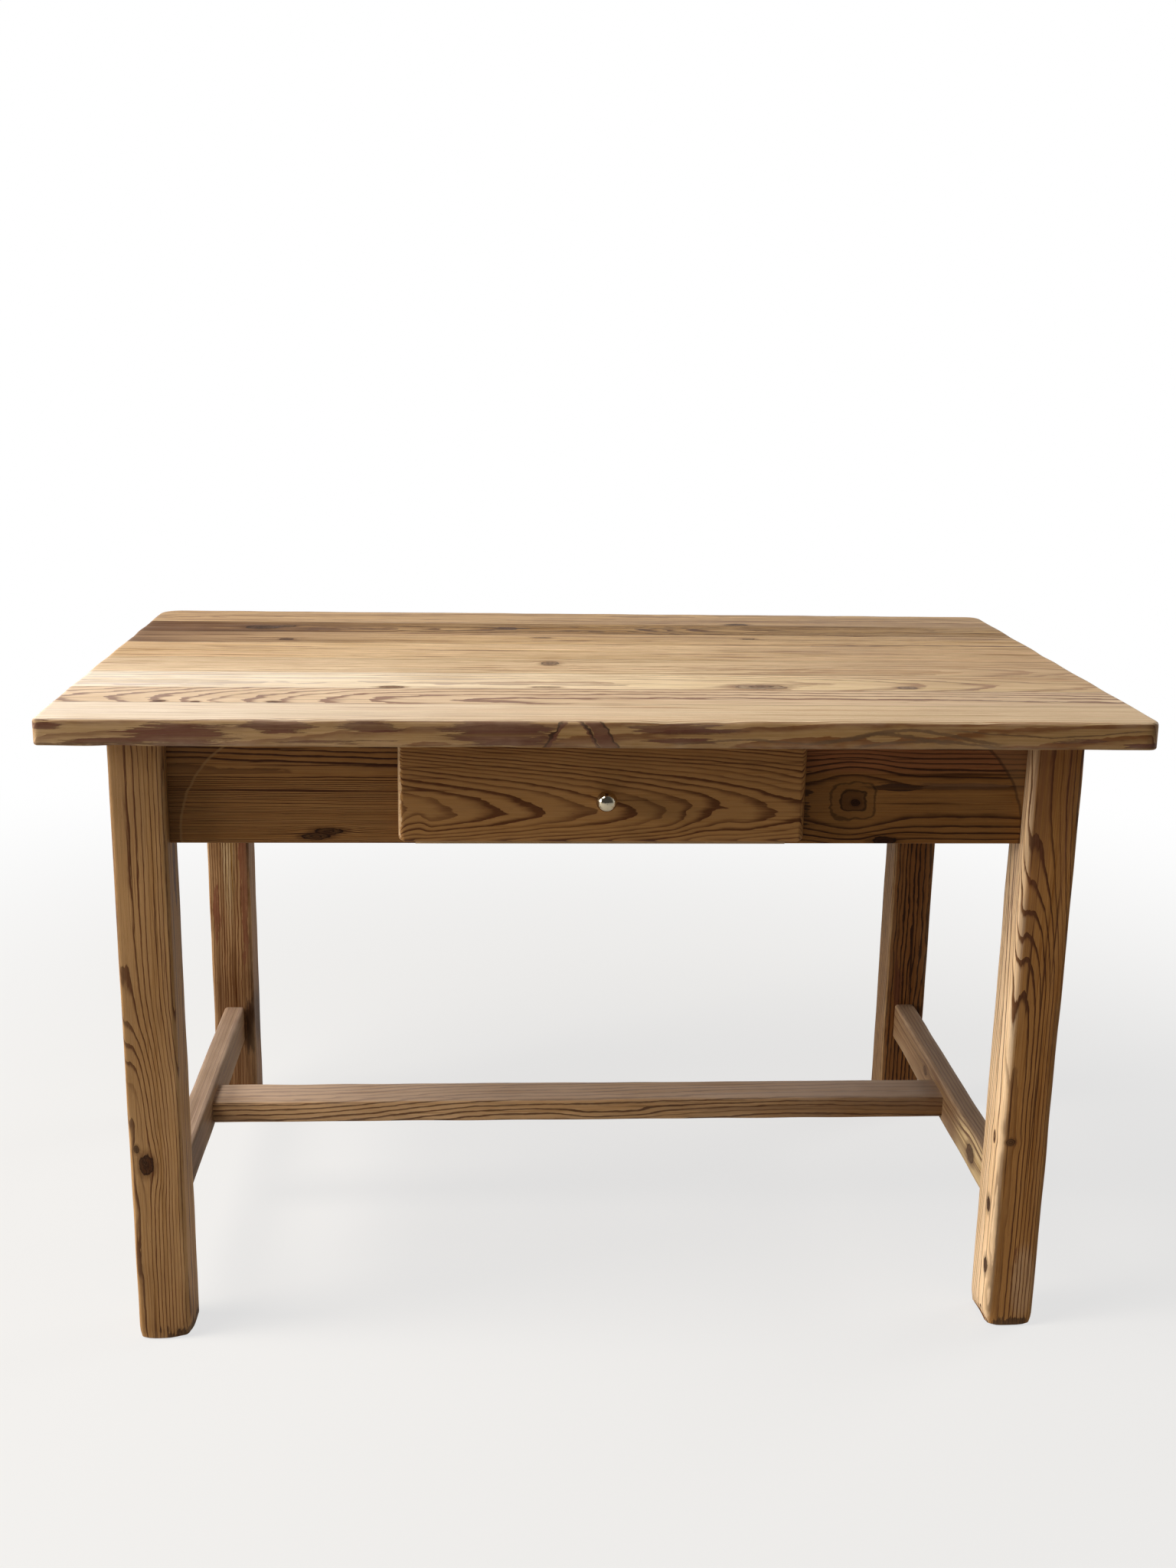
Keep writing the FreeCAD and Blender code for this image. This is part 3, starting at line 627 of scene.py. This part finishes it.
def pine(
    node, axis, face, pith, depth, ring, open_up=1.0, open_down=1.0, wobble=1.2, thin=0.2,
    arches=(), swells=(), loops=(), knots=(), strength=1.0, lively=1.0, coarse=1.0, patina=0.07,
    under=(), fades=(), patches=(), dust_and_top_light=0.0, corner_shades=(), strokes=(), fans=(), joints=(),
    early=(0.76, 0.56, 0.35), late=(0.40, 0.21, 0.09), edge_tone=(0.75, 0.55, 0.38),
    side_stain=None, rough=0.55, shine=0.2, seed=0.0,
):
    """Solid pine for a node, with its grain along axis and its best side looking along face.

    The log's middle lies sideways at pith and deep at depth, each a place at u = 0 and its
    rise in 100 mm. ring is the rings' spacing, wobble their waves, and thin where in a ring
    its dark part begins. open_up and open_down narrow the arches above and below the middle.
    arches are places (u, length, rise) where the log's middle moves away from the face, so
    that rings come out as arches, and swells are spots, with a number of rings, where rings
    come up to the surface. loops are ringed knots (u, letter, at, half length, half width),
    and knots plain ones, with their darkness as well.

    strength is how dark late wood is, lively how much the wood varies along the grain,
    coarse how wide its streaks are and patina how uneven its brightness. under are spots
    with another early wood (tone, spot, amount), and patches torn or stained ones, and
    also spots of painted shadow. fades are ends with another tone (tone, first u, last u,
    share). dust is how much the upper sides have paled, from settled dirt and from painted
    light from above. rims are arcs with another tone outside them (tone, u, letter, at,
    radius, way along the grain, amount, the line's tone), which paint shade and light into
    corners. strokes are single dark lines that arch (u, letter, at, length, height,
    thickness). fans are dark lines that spread downwards (u, letter, at, slope, lines), each
    line with its way along the grain, its distance and the width of the brown beside it.
    joints are the sideways places of glued joints, and side_stain darkens what doesn't look up.
    """
    wood = Pine(node, axis, face, early, late, side_stain, seed)
    wood.find_loops(loops)
    wood.find_knots(knots)
    wood.cut_rings(pith, depth, ring, open_up, open_down, wobble, thin, arches, swells)
    wood.find_streaks(coarse)
    wood.lay_colour(strength, lively, under)
    wood.fade_ends(fades)
    wood.vary_brightness(lively, patina)
    wood.stain_spots(patches)
    wood.pale_top(dust_and_top_light)
    wood.paint_corner_shades(corner_shades)
    wood.open_pores()
    wood.draw_strokes(strokes)
    wood.draw_fans(fans)
    wood.draw_loops()
    wood.draw_knots()
    wood.darken_joints(joints)
    wood.wear_edges(edge_tone)
    wood.darken_ends()
    return wood.finish(rough, shine)


def dress(piece, material):
    piece.data.materials.clear()
    piece.data.materials.append(material)


def stand_for(piece, node, material):
    """Lets a Blender piece stand for a CAD node of the table's body."""
    dress(piece, material)
    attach(piece, TABLE_BODY)
    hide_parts(node)


def repaint(node, material):
    """Gives every slot of a CAD node one material."""
    slots = nodes[node].data.materials
    if not slots:
        slots.append(material)
    for i in range(len(slots)):
        slots[i] = material


# ---- The top: eight boards ----

# the pale fades at the boards' left ends are painted glare of the light from the left, with some
# bleaching
top_boards = {
    "top_board_1": dict(
        pith=(-240, 1), depth=(-30.5, 0), ring=2.7, early=(0.86, 0.665, 0.42),
        late=(0.42, 0.215, 0.095), lively=1.4, coarse=1.5, shine=0.13, rough=0.6,
        fades=[(BLEACH_AND_GLARE, -700, 250, 0.34)],
        strokes=[
            (323, "Z", -12.5, 78, 18, 2.3), (300, "Z", -10.5, 52, 12, 1.9),
            (-560, "Z", -11.5, 90, -1, 1.4), (345, "Z", -13.5, 60, 8, 1.6),
            (150, "Z", -11.5, 60, 6, 1.2), (480, "Z", 7.5, 80, -9, 1.1),
        ],
        fans=[(-36, "Z", 12.5, 0.65, [(-1, 13, 5), (1, 31, 17), (1, 11, 3)])],
        patches=[(STAIN, *spot) for spot in (
            (-452, "Z", -1.5, 62, 15, 1.0), (-345, "Z", 7.5, 40, 8, 1.0),
            (-520, "Z", -9.5, 55, 5, 0.9), (-250, "Z", 7.5, 42, 8, 0.95),
            (-112, "Z", 0.5, 62, 15, 1.1), (70, "Z", 5.5, 62, 7, 0.95),
            (85, "Z", -6.5, 42, 5, 0.9), (582, "Z", -9.5, 30, 4, 0.85),
            (-300, "Z", -9.5, 60, 4, 0.75), (510, "Z", -5.5, 50, 4, 0.7),
            (-590, "Z", 7.5, 24, 7, 0.8),
        )],
    ),
    "top_board_2": dict(
        pith=(-31.5, -2), depth=(-260.5, 0), ring=3.0, early=(0.75, 0.54, 0.335),
        late=(0.25, 0.115, 0.055), strength=1.5, lively=1.6, thin=0.45, shine=0.13,
        arches=[(-420, 210, -17)], fades=[(BLEACH_AND_GLARE, -700, 50, 0.1)],
        knots=[(-485, "Y", -35.5, 7, 5, 1), (-445, "Y", -37.5, 5, 4, 1), (-360, "Y", -36.5, 8, 5, 1)],
    ),
    "top_board_3": dict(
        pith=(-17, 0.8), depth=(-158.5, 0), ring=3.2, early=(0.91, 0.69, 0.41),
        late=(0.32, 0.155, 0.065), lively=1.9, coarse=1.5, patina=0.12, wobble=1.1, thin=0.35,
        shine=0.12, arches=[(430, 260, 8)],
        fades=[(BLEACH_AND_GLARE, -700, 250, 0.4), (TOASTED, 640, 100, 0.5)],
        knots=[
            (-238, "Y", -40, 14, 7, 0.8), (190, "Y", -26, 30, 13, 0.1), (192, "Y", -24, 15, 7, 0.9),
            (365, "Y", -27, 12, 7, 0.7), (-60, "Y", -35, 16, 4, 0.3),
        ],
    ),
    "top_board_4": dict(
        pith=(-62.5, 8), depth=(-104.5, 0), ring=3.4, early=(0.79, 0.58, 0.34),
        late=(0.38, 0.205, 0.09), strength=1.2, lively=2.3, coarse=1.8, patina=0.17, wobble=1.4,
        shine=0.12, arches=[(560, 120, 6)],
        fades=[(BLEACH_AND_GLARE, -700, 0, 0.08), (TOASTED, 640, 50, 0.5)],
        knots=[(-50, "Y", 19.5, 11, 14, 0.9)],
    ),
    "top_board_5": dict(
        pith=(86.5, -6), depth=(-54.5, 0), ring=2.6, early=(0.825, 0.58, 0.315),
        late=(0.30, 0.15, 0.06), lively=2.8, coarse=2.6, patina=0.22, wobble=1.4, shine=0.12,
        fades=[(TOASTED, -700, -150, 0.22), (TOASTED, 640, 50, 0.46)],
    ),
    "top_board_6": dict(
        pith=(-78.5, 6), depth=(-84.5, 0), ring=2.8, early=(0.735, 0.49, 0.25),
        late=(0.18, 0.08, 0.03), lively=3.0, coarse=2.4, patina=0.16, wobble=1.4, shine=0.07,
        arches=[(-540, 90, 5)], fades=[(UMBER, -740, -120, 1.0)],
        knots=[(-394, "Y", -16.5, 9, 8, 1), (-55, "Y", 8.5, 12, 4, 0.3), (225, "Y", 11.5, 9, 5, 0.3)],
    ),
    "top_board_7": dict(
        pith=(-5, 2), depth=(-29.5, 0), ring=3.4, early=(0.47, 0.29, 0.13),
        late=(0.10, 0.042, 0.016), strength=1.3, lively=3.2, coarse=2.6, patina=0.24, wobble=2.4,
        shine=0.04, rough=0.6, arches=[(-230, 60, 4), (120, 40, -5)],
        fades=[(UMBER, -700, -20, 1.08), (WORN, 640, 380, 0.3)],
        knots=[(-438, "Y", -5, 22, 14, 0.9), (-405, "Y", 6, 12, 8, 0.7)],
    ),
    "top_board_8": dict(
        pith=(20, 6), depth=(-104.5, 0), ring=3.0, early=(0.60, 0.39, 0.20),
        late=(0.18, 0.08, 0.03), lively=2.6, coarse=1.8, wobble=1.4, shine=0.12,
        knots=[(225, "Y", -43, 16, 8, 1)],
    ),
}
top_corners = np.array([corner for node in top_boards for corner in node_box(node)])
top_box = top_corners.min(axis=0), top_corners.max(axis=0)
(left, front, under), (right, back, above) = top_box
top_dents = [
    ((62, front, above), (22, 5, 4), 1.6), ((128, front, above), (12, 5, 4), 1.2),
    ((-338, front, above), (16, 5, 4), 1.2), ((-118, front, under), (24, 5, 4), 1.4),
    ((402, front, above), (10, 4, 4), 1.0), ((-512, front, under), (18, 5, 4), 1.2),
    ((right, 40, above), (5, 24, 4), 0.7), ((left, 150, above), (5, 22, 4), 0.9),
]
for number, (node, look) in enumerate(top_boards.items(), start=1):
    board = worn_block(
        f"plank_{number}", node_box(node), "Z", corners=(6, 13, 20, 26), ends=(3, 5),
        wear=0.22, sag=0.3, seed=11, outline=top_box, step=7.0, dents=top_dents,
    )
    sides = [corner[1] for corner in node_box(node)]
    joints = [side - sum(sides) / 2 for side in sides if side not in (front, back)]
    wood = pine(
        node, "X", "Z", seed=number * 1.7, side_stain=(0.455, 0.335, 0.20), joints=joints, **look)
    stand_for(board, node, wood)


# ---- The frame ----

AGED = {
    "early": (0.42, 0.222, 0.080), "late": (0.09, 0.030, 0.009), "edge_tone": (0.58, 0.38, 0.20),
    "patina": 0.16, "strength": 1.25, "lively": 1.7, "shine": 0.1, "wobble": 0.9,
}
# stretchers, whose upper sides are paler from dust and from painted light from above
DUSTY_AND_TOP_LIT = {
    **AGED, "early": (0.48, 0.305, 0.165), "late": (0.14, 0.066, 0.03),
    "edge_tone": (0.60, 0.44, 0.30), "dust_and_top_light": 0.5,
}
DARK = {**AGED, "early": (0.34, 0.165, 0.054), "late": (0.055, 0.016, 0.005), "strength": 1.5}
# hidden pieces are paler
PLAIN = {"early": (0.60, 0.41, 0.22), "late": (0.32, 0.17, 0.07), "strength": 0.6, "ring": 2.6}

# each leg's look, the radii of its corners, and its dents, as places with a size and a depth;
# those are measured from the leg's middle and the floor
legs = {
    "leg_front_left": (dict(
        pith=(-27, 0.6), depth=(-6.4, 0), ring=3.6, arches=[(362, 60, -10)], thin=0.5,
        wobble=1.1, strength=1.05, early=(0.385, 0.21, 0.083), fades=[(UMBER, 860, 560, 0.2)],
        knots=[(226, "X", -11, 13, 8, 1), (246, "X", -22, 5, 3.2, 1)],
        patches=[(SOOT_AND_SHADE, 4, "X", 24, 14, 30, 0.8), (SOOT_AND_SHADE, 12, "X", -1, 12, 12, 0.6)],
    ), (4, 5, 4, 4), [((30, -29, 0), (16, 16, 14), 5.0), ((-30, -29, 0), (9, 9, 9), 2.5)]),
    "leg_front_right": (dict(
        pith=(-18, 0.2), depth=(1.1, 0), ring=3.8, arches=[(515, 95, -12.6)], thin=0.5,
        wobble=1.1, early=(0.42, 0.195, 0.057),
        under=[(SAPWOOD, 300, "X", -42, 1200, 20, 1.2), (SCUFF, 60, "X", 14, 60, 17, 0.9)],
        fades=[(RUST, 860, 480, 0.62)],
        knots=[(245, "X", -16, 4, 5, 0.6), (155, "Y", -11, 10, 6, 1), (78, "Y", -19, 11, 6, 1)],
        patches=[(SOOT_AND_SHADE, 1, "X", 6, 12, 34, 0.95), (RUST, 96, "X", 2, 26, 4, 0.7)],
    ), (9, 5, 4, 4), [
        ((-30, -11, 0), (11, 40, 13), 6.5), ((30, -29, 0), (9, 9, 9), 3.0),
        ((-30, -30, 560), (8, 8, 22), 2.0), ((-30, -30, 300), (8, 8, 30), 1.6),
    ]),
    "leg_back_left": (dict(
        pith=(74, 2), depth=(-84, 0), ring=3.4, early=(0.27, 0.145, 0.06), thin=0.4,
        under=[((0.40, 0.27, 0.14), 480, "X", 0, 190, 12, 0.9)], lively=2.4, strength=1.5,
        patina=0.3, wobble=1.8, fades=[(UMBER, 150, 290, 0.7)],
        patches=[
            (RUST, 420, "X", 21, 250, 7, 0.9), (RUST, 640, "X", -21, 130, 6, 0.85),
            # the dark patch at 160 mm, right of where the side stretcher meets the leg, is painted
            # shadow of the stretcher
            (RUST, 330, "X", -20, 70, 7, 0.7), (SOOT_AND_SHADE, 160, "X", 26, 60, 12, 0.9),
        ],
    ), (4, 4, 5, 4), []),
    "leg_back_right": (dict(
        pith=(56, -1), depth=(-74, -1), ring=4.4, early=(0.25, 0.098, 0.026), thin=0.4,
        late=(0.04, 0.012, 0.004), wobble=3.0, strength=2.4,
        under=[((0.25, 0.135, 0.055), 400, "X", -34, 900, 8, 1.2)],
        patches=[(RUST, 210, "X", -14, 60, 9, 0.8)],
    ), (4, 4, 4, 5), []),
}
for number, (node, (look, corners, dents)) in enumerate(legs.items()):
    foot = (*node_middle(node)[:2], 0)
    leg = worn_block(
        node.replace("leg", "post"), node_box(node), "Z", corners, ends=(3.4, 0.3),
        wear=0.35, sag=0.4, seed=40 + number,
        dents=[(np.add(foot, place), size, deep) for place, size, deep in dents],
    )
    stand_for(leg, node, pine(node, "Z", "Y", seed=20 + number, **{**AGED, **look}))

# each stretcher's grain, best side, look and radius
rails = {
    "side_stretcher_left": ("Y", "X", dict(
        pith=(-34.5, 0), depth=(104, 0), ring=4.4, early=(0.22, 0.13, 0.065), dust_and_top_light=0.36,
        under=[((0.10, 0.055, 0.027), -260, "Z", -4.5, 170, 60, 1.2)],
        fades=[(UMBER, 270, 170, 0.6)], knots=[(40, "Z", -4.5, 10, 7, 0.8)],
    ), 5),
    "side_stretcher_right": ("Y", "X", dict(
        pith=(-24.5, 0), depth=(-104, 0), ring=4.4, early=(0.25, 0.15, 0.075), dust_and_top_light=0.12,
        under=[((0.60, 0.43, 0.22), -215, "Z", -4.5, 130, 60, 1.0)], strength=1.5,
        knots=[(-165, "Z", -2.5, 15, 11, 0.25), (70, "Z", 5.5, 9, 6, 0.5)],
    ), 5),
    "long_stretcher": ("X", "Z", dict(
        pith=(-46, 3), depth=(-45.5, -2), ring=6.2, arches=[(-240, 100, -14), (150, 140, -7)],
        strength=1.9, thin=0.45, fades=[(UMBER, 490, 40, 0.62), (UMBER, -500, -420, 0.6)],
        under=[((0.62, 0.37, 0.18), -60, "Z", -0.5, 560, 40, 1.4)], wobble=2.6,
        swells=[(42, "Z", -4.5, 60, 11, 0.9)],
    ), 4),
}
for number, (node, (axis, face, look, radius)) in enumerate(rails.items()):
    rail = worn_block(
        f"bar_{node}", node_box(node), axis, corners=(radius,) * 4, ends=(0.3, 0.3),
        wear=0.25, sag=0.3, seed=60 + number,
    )
    stand_for(rail, node, pine(node, axis, face, seed=30 + number, **{**DUSTY_AND_TOP_LIT, **look}))

repaint("front_apron_left", pine(
    "front_apron_left", "X", "Y", pith=(15.5, -1), depth=(-0.4, 0.48), ring=1.8, open_up=0.42,
    thin=0.35, swells=[(-307, "Z", -61.5, 46, 15, 1.6)],
    knots=[(-301, "Z", -47.5, 16, 3.6, 0.6), (-315, "Z", -53.5, 16, 3.6, 0.6)],
    # the arc darkens the apron's upper corner next to the leg: painted shade, with a paler painted
    # line along it
    corner_shades=[(SOOT_AND_SHADE, -344, "Z", -48.5, 118, -1, 0.3, PAINTED_CORNER_LIGHT)],
    seed=41, **{**DARK, "wobble": 0.6, "strength": 1.35}))
repaint("front_apron_right", pine(
    "front_apron_right", "X", "Y", pith=(-9.5, -1), depth=(65.4, 0), ring=3.3, open_down=1.05,
    thin=0.4, under=[((0.30, 0.115, 0.042), 350, "Z", 48.5, 320, 32, 1.0)],
    loops=[(281, "Z", -11.5, 25, 21)], knots=[(284, "Z", -13.5, 5, 4, 1), (319, "Z", -58.5, 14, 5, 1)],
    patches=[
        (SOOT_AND_SHADE, 330, "Z", 4.5, 34, 4.5, 0.95), (UMBER, 410, "Z", 6.5, 70, 5, 0.9),
        (SOOT_AND_SHADE, 228, "Z", -17.5, 10, 40, 0.6),
    ],
    # the arc draws a painted shade line across the apron's upper corner next to the leg, with paler
    # painted light beyond it
    corner_shades=[(PAINTED_CORNER_LIGHT, 344, "Z", -48.5, 130, 1, 0.35, SOOT_AND_SHADE)],
    seed=42,
    **{**DARK, "early": (0.28, 0.125, 0.034), "late": (0.055, 0.016, 0.004), "wobble": 0.7}))
repaint("back_apron", pine(
    "back_apron", "X", "Y", pith=(-7.5, 4), depth=(-140, 4), ring=3.2, seed=43, **AGED))
for node, deep, seed in (("end_apron_left", 105, -40), ("end_apron_right", -115, 39)):
    repaint(node, pine(node, "Y", "X", pith=(12.5, 6), depth=(deep, 3), ring=3.0, seed=seed, **AGED))

# a number made of its name gives each hidden piece a grain of its own
for node, axis, face in (
    ("drawer_top_rail", "X", "Z"), ("drawer_bottom_rail", "X", "Z"),
    ("drawer_runner_left", "Y", "X"), ("drawer_runner_right", "Y", "X"),
    ("drawer_guide_left", "Y", "X"), ("drawer_guide_right", "Y", "X"),
    ("drawer_kicker_left", "Y", "X"), ("drawer_kicker_right", "Y", "X"),
    ("top_buttons", "Y", "Z"), ("drawer_side_left", "Y", "X"), ("drawer_side_right", "Y", "X"),
    ("drawer_back", "X", "Y"), ("drawer_bottom", "X", "Z"),
):
    seed = sum(map(ord, node)) * 0.13
    repaint(node, pine(node, axis, face, pith=(14, 3), depth=(-70, 2), seed=seed, **PLAIN))
repaint("drawer_front", pine(
    "drawer_front", "X", "Y", pith=(-22.5, 0), depth=(85.2, 5), ring=2.2, open_down=1.5,
    early=(0.40, 0.20, 0.068), late=(0.105, 0.036, 0.010), shine=0.1, wobble=0.9, lively=1.2,
    swells=[(-206, "Z", -35.5, 14, 14, 0.9), (118, "Z", -33.5, 34, 20, 0.8)],
    patches=[(WORN, -223, "Z", 0.5, 3, 95, 1.0)], seed=50))


# ---- Metal ----


def metal(name, colour, rough, stain):
    """Metal with stains and fine pits."""
    made, tree, shader = new_material(name)
    place = object_place(tree)
    cloud = noise(tree, place, (9.0, 9.0, 9.0), detail=3.0)
    fine = noise(tree, place, (1.5, 1.5, 1.5))
    stained = blend(tree, (cloud.between(0.1, 0.7) * 0.5).clamped(), colour, stain)
    tree.links.new(stained, shader.inputs["Base Color"])
    shader.inputs["Metallic"].default_value = 1.0
    tree.links.new((cloud * 0.04 + fine * 0.03 + rough).clamped().socket, shader.inputs["Roughness"])
    add_bump(tree, shader, cloud * 2.0 + fine, strength=0.5, distance=0.00004)
    return made


repaint("drawer_knob", metal(
    "plated_brass", colour=(0.60, 0.53, 0.39), rough=0.06, stain=(0.42, 0.33, 0.2)))
steel = metal("steel", colour=(0.56, 0.55, 0.53), rough=0.35, stain=(0.30, 0.27, 0.24))
for node in ("knob_screw", "knob_washer", "button_screws", "bottom_nails"):
    repaint(node, steel)


# ---- Studio ----

# from where to where, in millimetres from the middle of the table, the floor turns white
SHADOW_REACH = 700, 2600


def seen_by(tree):
    """1 for the camera's rays, and 1 for those that shiny or clear surfaces send on."""
    rays = tree.nodes.new("ShaderNodeLightPath")
    kinds = ("Is Camera Ray", "Is Glossy Ray", "Is Transmission Ray")
    camera_ray, glossy, through = (Value(tree, rays.outputs[kind]) for kind in kinds)
    return camera_ray, (glossy + through).clamped()


def paper(name, colour):
    """Pale paper: lit like any surface, and white where the camera or a reflection sees it.

    The white share grows away from the table, so that its shadow shows.
    """
    made, tree, shader = new_material(name)
    shader.inputs["Base Color"].default_value = (*colour, 1.0)
    shader.inputs["Roughness"].default_value = 0.9
    place = object_place(tree)
    away = (place[0] * place[0] + place[1] * place[1]).root()
    camera_ray, sent_on = seen_by(tree)
    white_share = camera_ray.at_least(sent_on * 0.3) * away.between(*SHADOW_REACH, 0.7, 1.0)
    white = tree.nodes.new("ShaderNodeEmission")
    mix = tree.nodes.new("ShaderNodeMixShader")
    tree.links.new(white_share.socket, mix.inputs[0])
    tree.links.new(shader.outputs[0], mix.inputs[1])
    tree.links.new(white.outputs[0], mix.inputs[2])
    tree.links.new(mix.outputs[0], tree.nodes["Material Output"].inputs["Surface"])
    return made


def studio_world():
    """A weak even light, and white for the camera.

    Reflections see a pale room whose ceiling is less bright, and dim behind the camera.
    """
    world = bpy.data.worlds.new("studio")
    world.use_nodes = True
    tree = world.node_tree
    sky = tree.nodes["Background"]
    sky.inputs["Color"].default_value = (1, 1, 1, 1)
    camera_ray, sent_on = seen_by(tree)
    where = tree.nodes.new("ShaderNodeTexCoord")
    heading = tree.nodes.new("ShaderNodeSeparateXYZ")
    tree.links.new(where.outputs["Generated"], heading.inputs[0])
    ceiling = Value(tree, heading.outputs[2]).between(0.3, 0.85, 1.0, 0.3)
    room = Value(tree, heading.outputs[1]).between(-0.5, 0.05, 0.0, 1.0)
    bright = camera_ray.at_least(sent_on * ceiling * room)
    tree.links.new((bright * 0.93 + 0.07).socket, sky.inputs["Strength"])
    return world


def lamp(name, place, aim, size, power, colour):
    data = bpy.data.lights.new(name, "AREA")
    data.shape, data.size, data.energy, data.color = "DISK", size, power, colour
    made = bpy.data.objects.new(name, data)
    made.location = place
    made.rotation_euler = (Vector(aim) - Vector(place)).to_track_quat("-Z", "Y").to_euler()
    bpy.context.scene.collection.objects.link(made)


bpy.ops.mesh.primitive_circle_add(vertices=96, radius=12.0, fill_type="NGON", location=(0, 0, 0))
floor = bpy.context.object
floor.name = "floor"
dress(floor, paper("floor_paper", (0.52, 0.49, 0.44)))
bpy.context.scene.world = studio_world()
lamp("window", (-4.8, -0.95, 1.8), (0, 0, 0.5), size=2.2, power=280, colour=(1.0, 0.97, 0.93))
lamp("overhead", (-1.8, -0.8, 3.1), (0, 0, 0.6), size=1.6, power=74, colour=(1.0, 0.98, 0.95))
lamp("fill", (4.4, 1.8, 1.7), (0, 0, 0.4), size=2.4, power=100, colour=(0.97, 0.98, 1.0))

# ---- Camera ----

# the place is in metres, the angles in radians and the focal length in pixels of the frame
CAMERA_PLACE = (-0.11867, -2.08366, 1.14564)
YAW, PITCH, ROLL = -0.057676, -0.257890, 0.017672
FOCAL_PIXELS, FRAME_PIXELS, SENSOR = 2185.82, 2048, 36

ahead = Vector((-math.sin(YAW) * math.cos(PITCH), math.cos(YAW) * math.cos(PITCH), math.sin(PITCH)))
level = Vector((math.cos(YAW), math.sin(YAW), 0))
sideways = level * math.cos(ROLL) + level.cross(ahead) * math.sin(ROLL)
turned = Matrix((sideways, sideways.cross(ahead), -ahead)).transposed()
camera = bpy.data.objects.new("camera", bpy.data.cameras.new("camera"))
camera.data.lens, camera.data.sensor_width = FOCAL_PIXELS / FRAME_PIXELS * SENSOR, SENSOR
camera.matrix_world = Matrix.Translation(CAMERA_PLACE) @ turned.to_4x4()
bpy.context.scene.collection.objects.link(camera)
bpy.context.scene.camera = camera
bpy.context.scene.view_settings.view_transform = "Standard"
